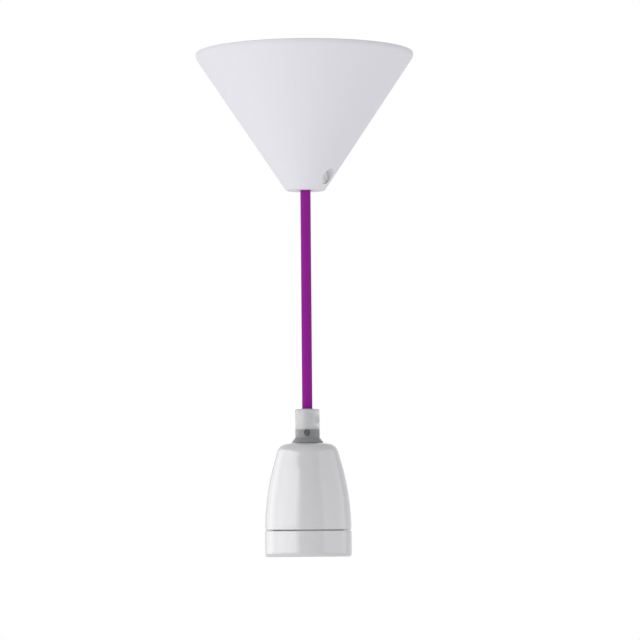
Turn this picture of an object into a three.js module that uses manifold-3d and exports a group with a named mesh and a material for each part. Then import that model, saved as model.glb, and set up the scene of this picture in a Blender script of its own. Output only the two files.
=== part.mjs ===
// Pendant cord set: a cone shaped ceiling canopy, a textile cord and a porcelain lamp holder.
// Millimetres, +Z up. The ceiling is the plane z = 0 and the set hangs below it.
import * as THREE from 'three';
import { mergeVertices } from 'three/addons/utils/BufferGeometryUtils.js';
import Module from 'manifold-3d';

const wasm = await Module();
wasm.setup();

// Clearance between pieces that touch, and the slot in each screw's head
const TOUCH = 0.3;
const SLOT_CUT = 0.7;
const SLOT_SINK = 0.8;
const SLOT_TURN = Math.PI / 5;

// Canopy
const CANOPY_RADIUS = 59.5;
const CANOPY_HEIGHT = 75.4;
const CANOPY_WALL = 2;
const RIM_BAND = 2.3;
const RIM_FILLET = 0.6;
const NECK_RADIUS = 10.6;
const NECK_FILLET = 0.7;
const NECK_PLUG = 14;
const NECK_LEAD_IN = 1;

// Screw in the neck of the canopy, pointing at the cord
const CANOPY_SCREW_ANGLE = -34;
const CANOPY_SCREW_RISE = 7;
const CANOPY_SCREW_RADIUS = 2;
const CANOPY_SCREW_HEAD_RADIUS = 3.8;
const CANOPY_SCREW_HEAD = 2;
const CANOPY_SCREW_SEAT = 10;

// Cord
const CORD_DIAMETER = 5.5;
const CORD_SIDES = 8;
const CORD_DROP = 119.4;
const CORD_STEP = 6.5;

// Coil of surplus cord, resting on the inside of the canopy
const COIL_COLUMNS = 2;
const COIL_LAYERS = 3;
const COIL_INNER_TURN = 28;
const TIE_THICKNESS = 0.8;
const TIE_WIDTH = 4;
const TIE_ANGLES = [10, 160];

// Steel strap under the ceiling, with two ears for the pin
const STRAP_END_CLEARANCE = 4.8;
const STRAP_WIDTH = 18;
const STRAP_THICKNESS = 2;
const STRAP_CORNER = 3;
const SLOT_EDGE = 5;
const SLOT_LENGTH = 12;
const SLOT_WIDTH = 4.6;
const EAR_WIDTH = 12;
const EAR_DROP = 8;
const PIN_RADIUS = 2;
const PIN_HEAD_RADIUS = 3.4;
const PIN_HEAD = 1.5;
const PIN_TAIL = 3;
const PIN_GROOVE = 0.5;
const CLIP_RADIUS = 3.6;
const CLIP_THICKNESS = 0.8;
const CLIP_OPENING = 130;

// Cord anchor: a stirrup on the pin with a clamp at its foot
const ANCHOR_ARM_WIDTH = 8;
const ANCHOR_ARM_THICKNESS = 2.6;
const ANCHOR_EYE_RADIUS = 4.2;
const CLAMP_TOP = -33;
const CLAMP_HEIGHT = 13;
const CLAMP_WIDTH = 18;
const CLAMP_DEPTH = 7;
const CLAMP_BAR_DEPTH = 4.5;
const CLAMP_SPLIT = 1.2;
const ANCHOR_SCREW_RADIUS = 1.3;
const ANCHOR_SCREW_HEAD_RADIUS = 2.5;
const ANCHOR_SCREW_HEAD = 1.8;
const ANCHOR_SCREW_INSET = 2.9;
const ANCHOR_SCREW_BLIND = 1;

// Terminal block under the strap
const BLOCK_X = 20.5;
const BLOCK_WIDTH = 17;
const BLOCK_LENGTH = 22;
const BLOCK_HEIGHT = 11.4;
const BLOCK_NOTCH = 1.2;
const BLOCK_NOTCH_LENGTH = 7.3;
const POLE_PITCH = 9.4;
const POLE_RADIUS = 2.6;
const POLE_BORE = 1.5;
const POLE_LENGTH = 19;
const POLE_DEPTH = 5.2;
const POLE_SCREW_RADIUS = 1.3;
const POLE_SCREW_SPREAD = 12;
const POLE_SCREW_SINK = 1;
const BLOCK_SCREW_RADIUS = 1.1;
const BLOCK_SCREW_HEAD_RADIUS = 2.1;
const BLOCK_SCREW_HEAD = 1.5;

// Insulated cores
const CORE_DIAMETER = 2.2;
const CORE_SIDES = 8;

// Clear cord grip and the threaded tube that holds it on the dome
const GRIP_RADIUS = 6.65;
const GRIP_HEIGHT = 18.4;
const GRIP_EDGE = 0.7;
const GRIP_SHOULDER = 1.5;
const FOOT_RADIUS = 8.5;
const FOOT_HEIGHT = 2.9;
const FOOT_RIM = 0.5;
const NIPPLE_RADIUS = 5;
const NIPPLE_BORE = 3.6;
const NIPPLE_ENTRY = 7.4;
const NIPPLE_LENGTH = 18.5;
const NIPPLE_CHAMFER = 0.5;
const JACKET_TAIL = 5.3;
const GRIP_SCREW_ANGLE = 50;
const GRIP_SCREW_RADIUS = 1.6;
const GRIP_SCREW_DEPTH = 5.4;
const LOCK_SCREW_ANGLE = -92;
const LOCK_SCREW_RADIUS = 1.4;
const LOCK_SCREW_RISE = 5.4;
const LOCK_SCREW_SINK = 0.2;
const WASHER_RADIUS = 8;
const WASHER_THICKNESS = 1;
const NUT_ACROSS_FLATS = 14;
const NUT_HEIGHT = 3;

// Porcelain dome, as distance below its top and radius there
const DOME_HEIGHT = 47;
const DOME_OUTLINE = [
  [0.3, 12.3], [0.7, 13.5], [1.3, 14.5], [1.9, 15.15], [2.9, 15.85], [4.1, 16.5], [7.3, 17.45],
  [10.6, 18.4], [13.8, 19.3], [16.6, 19.95], [21.9, 21.05], [27.4, 22], [33.9, 22.8],
];
const DOME_CROWN_RADIUS = 11;
const DOME_WALL = 3.5;
const DOME_CROWN = 4;
const DOME_CHAMFER = 1.5;
const DOME_EDGE = 1;

// Porcelain ring below the dome, with a spigot up into it
const RING_RADIUS = 23.6;
const RING_HEIGHT = 14.1;
const RING_FOOT_FILLET = 1.7;
const SPIGOT_RADIUS = 18.9;
const SPIGOT_HEIGHT = 10.1;
const LIP_THICKNESS = 3.3;
const LIP_BORE = 14.3;
const LIP_CHAMFER = 0.8;

// Porcelain contact block inside the ring, open downwards
const CONTACT_BLOCK_RADIUS = 16.4;
const CONTACT_BLOCK_WALL = 2.4;
const CONTACT_BLOCK_FLANGE = 4.6;

// Rolled thread for the bulb
const THREAD_CREST = 12.35;
const THREAD_DEPTH = 0.95;
const THREAD_PITCH = 3.63;
const SHELL_SHEET = 0.4;
const SHELL_FLANGE_BORE = 8.6;

// Contacts, rivets and terminals
const RIVET_RADIUS = 1.2;
const RIVET_HEAD_RADIUS = 2;
const RIVET_HEAD = 0.7;
const CONTACT_WIDTH = 5;
const CONTACT_SHEET = 0.5;
const CONTACT_REACH = 11.4;
const CONTACT_SLOPE = 2.2;
const CONTACT_TIP = 1.6;
const CONTACT_DROP = 4;
const CONTACT_RIVET_X = -5.4;
const SHELL_RIVET_PLACE = 10.6;
const SHELL_RIVET_ANGLE = 38;
const TERMINAL_X = 10.8;
const TERMINAL_WIDTH = 5.6;
const TERMINAL_DEPTH = 6.4;
const TERMINAL_HEIGHT = 7.5;
const TERMINAL_FOOT = 1.2;
const TERMINAL_FOOT_MARGIN = 0.5;
const TERMINAL_BORE_DEPTH = 5;
const TERMINAL_SCREW_RADIUS = 1;
const TERMINAL_SCREW_HEAD_RADIUS = 2.1;
const TERMINAL_SCREW_HEAD = 1.5;

// Route of the cord up to the coil, in the order in which it is followed, above the jacket's end
const CORD_DROP_ROUTE = [
  [0, 0, -215], [0, 0, -200], [0, 0, -187], [0, 0, -174], [0, 0, -161],
  [0, 0, -148], [0, 0, -135], [0, 0, -122], [0, 0, -109], [0, 0, -96], [0, 0, -83],
  [0, 0, -70], [0, 0, -57], [0, 0, -44], [0, 0, -36.4], [0, 0, -30.4], [0.6, 0, -26.7],
  [2.2, 0, -23.3], [4.9, 0, -20.6], [8.2, 0, -19.1], [11.6, 0, -18.8], [15, 0.5, -18.8],
  [18.2, 2.1, -18.8], [20.5, 4.2, -18.8], [21.5, 5.6, -18.8],
];
// Route of the cord off the top of the coil to the terminal block
const CORD_TAIL_ROUTE = [
  [-4.6, -33.2, -12.9], [-1, -33.5, -12.9], [2.8, -33.2, -12.6], [7, -31.9, -12.1],
  [11.2, -29.6, -11.3], [14.5, -26.6, -10.3], [16.9, -23, -9.2], [17.9, -19.8, -8.5],
  [18.1, -16.8, -8.2],
];

// Levels that follow from the sizes
const neckBottom = -CANOPY_HEIGHT;
const plugTop = neckBottom + NECK_PLUG;
const gripTop = neckBottom - CORD_DROP;
const gripBottom = gripTop - GRIP_HEIGHT;
const domeTop = gripBottom - TOUCH;
const domeBottom = domeTop - DOME_HEIGHT;
const ringTop = domeBottom - TOUCH;
const ringBottom = ringTop - RING_HEIGHT;
const spigotTop = ringTop + SPIGOT_HEIGHT;
const blockUnderside = spigotTop + TOUCH;
const blockTop = blockUnderside + CONTACT_BLOCK_FLANGE;
const nippleTop = gripBottom + NIPPLE_ENTRY;
const jacketEnd = nippleTop - NIPPLE_LENGTH - JACKET_TAIL;
const strapUnderside = -STRAP_THICKNESS;
const pinLevel = strapUnderside - EAR_DROP;
const cordRadius = CORD_DIAMETER / 2;
const cordHole = cordRadius + TOUCH;
const clampBottom = CLAMP_TOP - CLAMP_HEIGHT;

const X = new THREE.Vector3(1, 0, 0);
const Y = new THREE.Vector3(0, 1, 0);
const Z = new THREE.Vector3(0, 0, 1);

// Outer and inner radius of the canopy's cone at a height
const coneSlope = (CANOPY_RADIUS - NECK_RADIUS) / (CANOPY_HEIGHT - RIM_BAND);
const coneSlant = Math.hypot(1, coneSlope);
const coneRadius = (z) => NECK_RADIUS + (z - neckBottom) * coneSlope;
const coneInside = (z) => coneRadius(z) - CANOPY_WALL * coneSlant;

// Radius of the dome outside, at a distance below its top
function domeRadius(depth) {
  const rows = [[0, DOME_CROWN_RADIUS], ...DOME_OUTLINE, [DOME_HEIGHT, RING_RADIUS]];
  const i = rows.findIndex((row) => row[0] >= depth);
  const [d0, r0] = rows[Math.max(i - 1, 0)];
  const [d1, r1] = rows[Math.max(i, 1)];
  return r0 + (r1 - r0) * (depth - d0) / (d1 - d0);
}

// Coil: its turns lie a diameter apart, its lowest outer turn rests on the cone over the tie
const coilOuterTurn = COIL_INNER_TURN + (COIL_COLUMNS - 1) * CORD_DIAMETER;
const coilSeat = coilOuterTurn + (cordRadius + TIE_THICKNESS + 2 * TOUCH) * coneSlant;
const coilLowTurn = neckBottom + (coilSeat + CANOPY_WALL * coneSlant - NECK_RADIUS) / coneSlope;
const coilHighTurn = coilLowTurn + (COIL_LAYERS - 1) * CORD_DIAMETER;

// The two rivets that hold the thread shell, opposite each other
const shellRivets = [0, 180].map((turn) => outward(SHELL_RIVET_ANGLE + turn, SHELL_RIVET_PLACE, 0)
  .slice(0, 2));

// Solids for joining and cutting
function solidOf(geometry) {
  const bare = geometry.clone();
  bare.deleteAttribute('normal');
  bare.deleteAttribute('uv');
  const merged = mergeVertices(bare, 1e-4);
  const corners = merged.index.array;
  const triangles = [];
  for (let i = 0; i < corners.length; i += 3) {
    const [a, b, c] = corners.slice(i, i + 3);
    if (a !== b && b !== c && c !== a) triangles.push(a, b, c);
  }
  return new wasm.Manifold(new wasm.Mesh({
    numProp: 3,
    vertProperties: new Float32Array(merged.attributes.position.array),
    triVerts: new Uint32Array(triangles),
  }));
}

function geometryOf(solid) {
  const mesh = solid.getMesh();
  const geometry = new THREE.BufferGeometry();
  geometry.setAttribute('position', new THREE.BufferAttribute(mesh.vertProperties, 3));
  geometry.setIndex(new THREE.BufferAttribute(mesh.triVerts, 1));
  geometry.computeVertexNormals();
  return geometry;
}

function join(...geometries) {
  return geometryOf(geometries.map(solidOf).reduce((a, b) => a.add(b)));
}

function cut(geometry, ...cutters) {
  return geometryOf(cutters.map(solidOf).reduce((a, b) => a.subtract(b), solidOf(geometry)));
}

// Points of an arc in a turned profile or a flat outline, angles in degrees
function arc(cx, cy, radius, from, to, steps) {
  return Array.from({ length: steps + 1 }, (_, i) => {
    const angle = THREE.MathUtils.degToRad(from + (to - from) * i / steps);
    return [cx + radius * Math.cos(angle), cy + radius * Math.sin(angle)];
  });
}

// Points as vectors, in counterclockwise order
function counterclockwise(points) {
  const vectors = points.map(([a, b]) => new THREE.Vector2(a, b));
  return THREE.ShapeUtils.isClockWise(vectors) ? vectors.reverse() : vectors;
}

// A profile of [radius, height] points turned about the vertical axis. It closes on itself,
// unless it starts and ends on the axis.
function turned(profile, segments) {
  const points = counterclockwise(profile);
  const solidAxis = profile[0][0] === 0 && profile.at(-1)[0] === 0;
  if (!solidAxis) points.push(points[0]);
  return new THREE.LatheGeometry(points, segments).rotateX(Math.PI / 2);
}

// Flat outlines carried along one axis
function outline(points, ...holes) {
  const shape = new THREE.Shape(counterclockwise(points));
  shape.holes = holes.map((hole) => new THREE.Path(counterclockwise(hole)));
  return shape;
}

function circle(cx, cy, radius, steps) {
  return arc(cx, cy, radius, 0, 360, steps).slice(0, -1);
}

function alongZ(shape, low, high) {
  const geometry = new THREE.ExtrudeGeometry(shape, { depth: high - low, bevelEnabled: false });
  return geometry.translate(0, 0, low);
}

function alongY(shape, low, high) {
  const turn = new THREE.Matrix4().makeBasis(X, Z, Y.clone().negate());
  return alongZ(shape, -high, -low).applyMatrix4(turn);
}

function block(x0, x1, y0, y1, z0, z1) {
  const box = new THREE.BoxGeometry(x1 - x0, y1 - y0, z1 - z0);
  return box.translate((x0 + x1) / 2, (y0 + y1) / 2, (z0 + z1) / 2);
}

// A round rod from one point to another
function rod(from, to, radius, segments = 14) {
  const start = new THREE.Vector3(...from);
  const run = new THREE.Vector3(...to).sub(start);
  const geometry = new THREE.CylinderGeometry(radius, radius, run.length(), segments);
  geometry.translate(0, run.length() / 2, 0);
  const turn = new THREE.Quaternion().setFromUnitVectors(Y, run.normalize());
  return geometry.applyQuaternion(turn).translate(...from);
}

// The driver's slot across the end of a screw that points outwards at an angle, end at a place
function slotted(screw, place, reach, angle) {
  const slot = block(-SLOT_SINK, SLOT_SINK, -SLOT_CUT / 2, SLOT_CUT / 2, -2 * reach, 2 * reach);
  slot.rotateX(SLOT_TURN).rotateZ(THREE.MathUtils.degToRad(angle)).translate(...place);
  return cut(screw, slot);
}

// A round tube that follows a route
function tube(route, radius, sides, steps) {
  const path = new THREE.CatmullRomCurve3(route.map((p) => new THREE.Vector3(...p)));
  const section = outline(circle(0, 0, radius, sides));
  return new THREE.ExtrudeGeometry(section, { steps, extrudePath: path, bevelEnabled: false });
}

// A point at a distance from the cord's axis, in a direction given in degrees
function outward(angle, distance, z) {
  const a = THREE.MathUtils.degToRad(angle);
  return [distance * Math.cos(a), distance * Math.sin(a), z];
}

// Finishes
const FINISHES = {
  canopyPlastic: { color: 0xe9e9ec, roughness: 0.55, metalness: 0 },
  porcelain: { color: 0xf0f0ee, roughness: 0.08, metalness: 0 },
  clearPlastic: { color: 0xd8dada, roughness: 0.1, metalness: 0, transparent: true, opacity: 0.5 },
  textile: { color: 0x8c2a94, roughness: 0.85, metalness: 0 },
  zincSteel: { color: 0xb4b6b8, roughness: 0.35, metalness: 1 },
  brass: { color: 0xc9a556, roughness: 0.3, metalness: 1 },
  whiteNylon: { color: 0xe6e4dc, roughness: 0.5, metalness: 0 },
  brownCore: { color: 0x6a4128, roughness: 0.5, metalness: 0 },
  blueCore: { color: 0x2a5fae, roughness: 0.5, metalness: 0 },
};

function piece(name, finish, geometry) {
  const mesh = new THREE.Mesh(geometry, new THREE.MeshStandardMaterial(FINISHES[finish]));
  mesh.name = name;
  return mesh;
}

// Canopy: a cone with a short upright band at its rim and a solid neck
function canopyPieces() {
  const rimInside = coneInside(-RIM_BAND);
  const profile = [
    [rimInside, 0],
    ...arc(CANOPY_RADIUS - RIM_FILLET, -RIM_FILLET, RIM_FILLET, 90, 0, 3),
    [CANOPY_RADIUS, -RIM_BAND],
    [coneRadius(neckBottom + NECK_FILLET), neckBottom + NECK_FILLET],
    ...arc(NECK_RADIUS - NECK_FILLET, neckBottom + NECK_FILLET, NECK_FILLET, 0, -90, 3),
    [cordHole + NECK_LEAD_IN, neckBottom],
    [cordHole, neckBottom + NECK_LEAD_IN],
    [cordHole, plugTop - NECK_LEAD_IN],
    [cordHole + NECK_LEAD_IN, plugTop],
    [coneInside(plugTop), plugTop],
    [rimInside, -RIM_BAND],
  ];
  const level = neckBottom + CANOPY_SCREW_RISE;
  const at = (distance) => outward(CANOPY_SCREW_ANGLE, distance, level);
  const seat = CANOPY_SCREW_SEAT;
  const headEnd = seat + TOUCH + CANOPY_SCREW_HEAD;
  const recess = rod(at(seat), at(CANOPY_RADIUS), CANOPY_SCREW_HEAD_RADIUS + TOUCH, 24);
  const bore = rod(at(0), at(seat + TOUCH), CANOPY_SCREW_RADIUS + TOUCH);
  const screw = slotted(join(
    rod(at(seat + TOUCH), at(headEnd), CANOPY_SCREW_HEAD_RADIUS, 24),
    rod(at(cordHole), at(seat + 2 * TOUCH), CANOPY_SCREW_RADIUS),
  ), at(headEnd), CANOPY_SCREW_HEAD_RADIUS, CANOPY_SCREW_ANGLE);
  return [
    piece('canopy', 'canopyPlastic', cut(turned(profile, 60), recess, bore)),
    piece('canopy_screw', 'whiteNylon', screw),
  ];
}

// Ceiling strap: flat steel with two slots and two ears bent down
function strapPieces() {
  const half = coneInside(strapUnderside) - STRAP_END_CLEARANCE;
  const slotCentre = half - SLOT_EDGE - SLOT_LENGTH / 2;
  const side = STRAP_WIDTH / 2;
  const corner = STRAP_CORNER;
  const reach = (SLOT_LENGTH - SLOT_WIDTH) / 2;
  const slots = [-slotCentre, slotCentre].map((centre) => [
    ...arc(centre + reach, 0, SLOT_WIDTH / 2, -90, 90, 8),
    ...arc(centre - reach, 0, SLOT_WIDTH / 2, 90, 270, 8),
  ]);
  const plate = outline([
    ...arc(half - corner, side - corner, corner, 0, 90, 4),
    ...arc(corner - half, side - corner, corner, 90, 180, 4),
    ...arc(corner - half, corner - side, corner, 180, 270, 4),
    ...arc(half - corner, corner - side, corner, 270, 360, 4),
  ], ...slots, circle(BLOCK_X, 0, BLOCK_SCREW_RADIUS + TOUCH, 14));
  const ear = outline([
    [EAR_WIDTH / 2, -STRAP_THICKNESS / 2],
    [-EAR_WIDTH / 2, -STRAP_THICKNESS / 2],
    ...arc(0, pinLevel, EAR_WIDTH / 2, 180, 360, 12),
  ], circle(0, pinLevel, PIN_RADIUS + TOUCH, 20));
  return [piece('ceiling_strap', 'zincSteel', join(
    alongZ(plate, strapUnderside, 0),
    alongY(ear, side - STRAP_THICKNESS, side),
    alongY(ear, -side, STRAP_THICKNESS - side),
  ))];
}

// Pin through the ears and the stirrup, with its spring clip
function pinPieces() {
  const end = STRAP_WIDTH / 2 + TOUCH;
  const tail = end + PIN_TAIL;
  const at = (y) => [0, y, pinLevel];
  const groove = PIN_GROOVE;
  const pin = cut(
    join(
      rod(at(-end - PIN_HEAD), at(-end), PIN_HEAD_RADIUS, 18),
      rod(at(-end - PIN_HEAD / 2), at(tail), PIN_RADIUS),
    ),
    cut(
      rod(at(end), at(end + CLIP_THICKNESS + 2 * TOUCH), PIN_RADIUS * 2),
      rod(at(end - 1), at(end + CLIP_THICKNESS + 1), PIN_RADIUS - groove),
    ),
  );
  const clipBore = PIN_RADIUS - groove + TOUCH;
  const opening = CLIP_OPENING / 2;
  const clip = outline([
    ...arc(0, pinLevel, CLIP_RADIUS, -90 + opening, 270 - opening, 20),
    ...arc(0, pinLevel, clipBore, 270 - opening, -90 + opening, 16),
  ]);
  return [
    piece('anchor_pin', 'zincSteel', pin),
    piece('pin_clip', 'zincSteel', alongY(clip, end + TOUCH, end + TOUCH + CLIP_THICKNESS)),
  ];
}

// Cord anchor: two arms on the pin, a grooved block at their foot, a clamp bar and two screws
function anchorPieces() {
  const armOutside = STRAP_WIDTH / 2 - STRAP_THICKNESS - TOUCH;
  const face = CLAMP_SPLIT / 2;
  const half = CLAMP_WIDTH / 2;
  const barTop = CLAMP_TOP - TOUCH;
  const groove = rod([0, 0, clampBottom - 1], [0, 0, CLAMP_TOP + 1], cordHole, 20);
  const arm = outline([
    [-ANCHOR_ARM_WIDTH / 2, CLAMP_TOP],
    [ANCHOR_ARM_WIDTH / 2, CLAMP_TOP],
    ...arc(0, pinLevel, ANCHOR_EYE_RADIUS, 0, 180, 12),
  ], circle(0, pinLevel, PIN_RADIUS + TOUCH, 20));
  const screwRows = [-1, 1].map((sign) => sign * (half - ANCHOR_SCREW_INSET));
  const screwLevel = (CLAMP_TOP + clampBottom) / 2;
  const barFront = face + CLAMP_BAR_DEPTH;
  const holeEnd = ANCHOR_SCREW_BLIND - CLAMP_DEPTH;
  const holes = screwRows.map((y) => rod([holeEnd, y, screwLevel],
    [barFront + 1, y, screwLevel], ANCHOR_SCREW_RADIUS + TOUCH));
  const foot = join(
    block(-CLAMP_DEPTH, -face, -half, half, clampBottom, CLAMP_TOP + 1),
    alongY(arm, armOutside - ANCHOR_ARM_THICKNESS, armOutside),
    alongY(arm, -armOutside, ANCHOR_ARM_THICKNESS - armOutside),
  );
  const opened = block(-CLAMP_DEPTH - 1, CLAMP_DEPTH, ANCHOR_ARM_THICKNESS - armOutside,
    armOutside - ANCHOR_ARM_THICKNESS, CLAMP_TOP, CLAMP_TOP + 2);
  const bar = block(face, barFront, -half, half, clampBottom, barTop);
  const headEnd = barFront + TOUCH + ANCHOR_SCREW_HEAD;
  const screws = screwRows.map((y, i) => piece(`anchor_screw_${i + 1}`, 'zincSteel', slotted(
    join(
      rod([barFront + TOUCH, y, screwLevel], [headEnd, y, screwLevel], ANCHOR_SCREW_HEAD_RADIUS),
      rod([holeEnd + TOUCH, y, screwLevel],
        [barFront + 2 * TOUCH, y, screwLevel], ANCHOR_SCREW_RADIUS, 10),
    ),
    [headEnd, y, screwLevel], ANCHOR_SCREW_HEAD_RADIUS, 0,
  )));
  return [
    piece('cord_anchor', 'whiteNylon', cut(foot, opened, groove, ...holes)),
    piece('anchor_clamp', 'whiteNylon', cut(bar, groove, ...holes)),
    ...screws,
  ];
}

// Terminal block: a housing with two tubular poles, their screws and one fixing screw
function terminalBlockPieces() {
  const top = strapUnderside - TOUCH;
  const bottom = top - BLOCK_HEIGHT;
  const axis = top - POLE_DEPTH;
  const poles = [-1, 1].map((sign) => BLOCK_X + sign * POLE_PITCH / 2);
  const rows = [-1, 1].map((sign) => sign * POLE_SCREW_SPREAD / 2);
  const half = BLOCK_LENGTH / 2;
  const notch = BLOCK_NOTCH / 2;
  const notchEnd = half - BLOCK_NOTCH_LENGTH;
  const cuts = [
    rod([BLOCK_X, 0, bottom - 1], [BLOCK_X, 0, top + 1], BLOCK_SCREW_RADIUS + TOUCH, 14),
    block(BLOCK_X - notch, BLOCK_X + notch, -half - 1, -notchEnd, bottom - 1, axis),
    block(BLOCK_X - notch, BLOCK_X + notch, notchEnd, half + 1, bottom - 1, axis),
  ];
  const pieces = [];
  poles.forEach((x, i) => {
    cuts.push(rod([x, -half - 1, axis], [x, half + 1, axis], POLE_RADIUS + TOUCH, 18));
    const openings = [rod([x, -half, axis], [x, half, axis], POLE_BORE, 12)];
    rows.forEach((y, j) => {
      const hole = rod([x, y, bottom - 1], [x, y, axis], POLE_SCREW_RADIUS + TOUCH, 12);
      cuts.push(hole);
      openings.push(hole);
      const low = bottom + POLE_SCREW_SINK;
      pieces.push(piece(`pole_screw_${2 * i + j + 1}`, 'zincSteel', cut(
        rod([x, y, low], [x, y, axis - POLE_BORE / 2], POLE_SCREW_RADIUS, 10),
        block(x - POLE_SCREW_RADIUS * 2, x + POLE_SCREW_RADIUS * 2, y - SLOT_CUT / 2,
          y + SLOT_CUT / 2, low - 1, low + SLOT_SINK),
      )));
    });
    pieces.push(piece(`pole_${i + 1}`, 'brass', cut(
      rod([x, -POLE_LENGTH / 2, axis], [x, POLE_LENGTH / 2, axis], POLE_RADIUS, 18),
      ...openings,
    )));
  });
  const housing = block(BLOCK_X - BLOCK_WIDTH / 2, BLOCK_X + BLOCK_WIDTH / 2, -half, half,
    bottom, top);
  const head = bottom - TOUCH - BLOCK_SCREW_HEAD;
  const screw = join(
    rod([BLOCK_X, 0, head], [BLOCK_X, 0, bottom - TOUCH], BLOCK_SCREW_HEAD_RADIUS),
    rod([BLOCK_X, 0, bottom - 2 * TOUCH], [BLOCK_X, 0, -TOUCH], BLOCK_SCREW_RADIUS, 10),
  );
  const slot = block(BLOCK_X - BLOCK_SCREW_HEAD_RADIUS * 2, BLOCK_X + BLOCK_SCREW_HEAD_RADIUS * 2,
    -SLOT_CUT / 2, SLOT_CUT / 2, head - 1, head + SLOT_SINK);
  return [
    piece('terminal_block', 'whiteNylon', cut(housing, ...cuts)),
    ...pieces,
    piece('block_screw', 'zincSteel', cut(screw, slot)),
  ];
}

// Cord: the hanging stretch, the coil of surplus, the tail to the terminals, and the coil's ties
function cordPieces() {
  const stepsOf = (route) => {
    const path = new THREE.CatmullRomCurve3(route.map((p) => new THREE.Vector3(...p)));
    return Math.ceil(path.getLength() / CORD_STEP);
  };
  const drop = [[0, 0, jacketEnd], ...CORD_DROP_ROUTE];
  const round = cordRadius;
  const inner = COIL_INNER_TURN;
  const around = (reach, steps) => [
    ...arc(coilOuterTurn, coilHighTurn, reach, 90, 0, steps),
    ...arc(coilOuterTurn, coilLowTurn, reach, 0, -90, steps),
    ...arc(inner, coilLowTurn, reach, -90, -180, steps),
    ...arc(inner, coilHighTurn, reach, 180, 90, steps),
  ];
  const ties = TIE_ANGLES.map((angle, i) => {
    const near = round + TOUCH;
    const shape = outline(around(near + TIE_THICKNESS, 3), around(near, 3));
    const tie = alongY(shape, -TIE_WIDTH / 2, TIE_WIDTH / 2);
    tie.rotateZ(THREE.MathUtils.degToRad(angle));
    return piece(`coil_tie_${i + 1}`, 'whiteNylon', tie);
  });
  return [
    piece('cord_drop', 'textile', tube(drop, cordRadius, CORD_SIDES, stepsOf(drop))),
    piece('cord_coil', 'textile', turned(around(round, 3), 40)),
    piece('cord_tail', 'textile',
      tube(CORD_TAIL_ROUTE, cordRadius, CORD_SIDES, stepsOf(CORD_TAIL_ROUTE))),
    ...ties,
  ];
}

// Cores from the jacket end on the tail to the two poles, and from the other end to the terminals
function corePieces() {
  const radius = CORE_DIAMETER / 2;
  const apart = radius + TOUCH;
  const [tailX, tailY, tailZ] = CORD_TAIL_ROUTE.at(-1);
  const poleY = -BLOCK_LENGTH / 2 - TOUCH;
  const poleZ = strapUnderside - TOUCH - POLE_DEPTH;
  const lowEnd = jacketEnd - TOUCH;
  const terminalTop = blockTop + TOUCH + TERMINAL_HEIGHT;
  return [['brown', -1], ['blue', 1]].flatMap(([colour, sign]) => {
    const poleX = BLOCK_X + sign * POLE_PITCH / 2;
    const startX = tailX + sign * apart;
    const startY = tailY + TOUCH;
    const supply = [
      [startX, startY, tailZ],
      [startX + (poleX - startX) * 0.15, startY + 2, tailZ],
      [startX + (poleX - startX) * 0.85, poleY - 2.2, poleZ],
      [poleX, poleY, poleZ],
    ];
    const drop = lowEnd - terminalTop;
    const postX = sign * TERMINAL_X;
    const holder = [
      [sign * apart, 0, lowEnd],
      [sign * apart * 1.3, 0, lowEnd - drop * 0.2],
      [postX * 0.5, 0, lowEnd - drop * 0.45],
      [postX * 0.93, 0, lowEnd - drop * 0.72],
      [postX, 0, terminalTop],
      [postX, 0, terminalTop - TERMINAL_BORE_DEPTH / 2],
    ];
    return [
      piece(`supply_wire_${colour}`, `${colour}Core`, tube(supply, radius, CORE_SIDES, 6)),
      piece(`holder_wire_${colour}`, `${colour}Core`, tube(holder, radius, CORE_SIDES, 12)),
    ];
  });
}

// Clear cord grip with a flared foot, and the two screws in its side
function gripPieces() {
  const footTop = gripBottom + FOOT_HEIGHT;
  const shoulder = nippleTop + TOUCH;
  const profile = [
    [cordHole, gripTop - GRIP_EDGE],
    [cordHole + GRIP_EDGE, gripTop],
    ...arc(GRIP_RADIUS - GRIP_EDGE, gripTop - GRIP_EDGE, GRIP_EDGE, 90, 0, 4),
    [GRIP_RADIUS, footTop],
    [GRIP_RADIUS + (FOOT_RADIUS - GRIP_RADIUS) * 0.45, footTop - FOOT_HEIGHT * 0.4],
    [FOOT_RADIUS, gripBottom + FOOT_RIM],
    [FOOT_RADIUS, gripBottom],
    [NIPPLE_RADIUS + TOUCH, gripBottom],
    [NIPPLE_RADIUS + TOUCH, shoulder],
    [cordHole, shoulder + GRIP_SHOULDER],
  ];
  const gripScrewLevel = gripTop - GRIP_SCREW_DEPTH;
  const lockScrewLevel = gripBottom + LOCK_SCREW_RISE;
  const grip = (distance) => outward(GRIP_SCREW_ANGLE, distance, gripScrewLevel);
  const lock = (distance) => outward(LOCK_SCREW_ANGLE, distance, lockScrewLevel);
  const lockEnd = GRIP_RADIUS - LOCK_SCREW_SINK;
  return [
    piece('cord_grip', 'clearPlastic', cut(
      turned(profile, 32),
      rod(grip(0), grip(GRIP_RADIUS + 1), GRIP_SCREW_RADIUS + TOUCH),
      rod(lock(0), lock(FOOT_RADIUS), LOCK_SCREW_RADIUS + TOUCH),
    )),
    piece('grip_screw', 'clearPlastic', slotted(
      rod(grip(cordHole), grip(GRIP_RADIUS - TOUCH), GRIP_SCREW_RADIUS),
      grip(GRIP_RADIUS - TOUCH), GRIP_SCREW_RADIUS, GRIP_SCREW_ANGLE)),
    piece('lock_screw', 'zincSteel', slotted(
      rod(lock(NIPPLE_RADIUS + TOUCH), lock(lockEnd), LOCK_SCREW_RADIUS),
      lock(lockEnd), LOCK_SCREW_RADIUS, LOCK_SCREW_ANGLE)),
  ];
}

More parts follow.
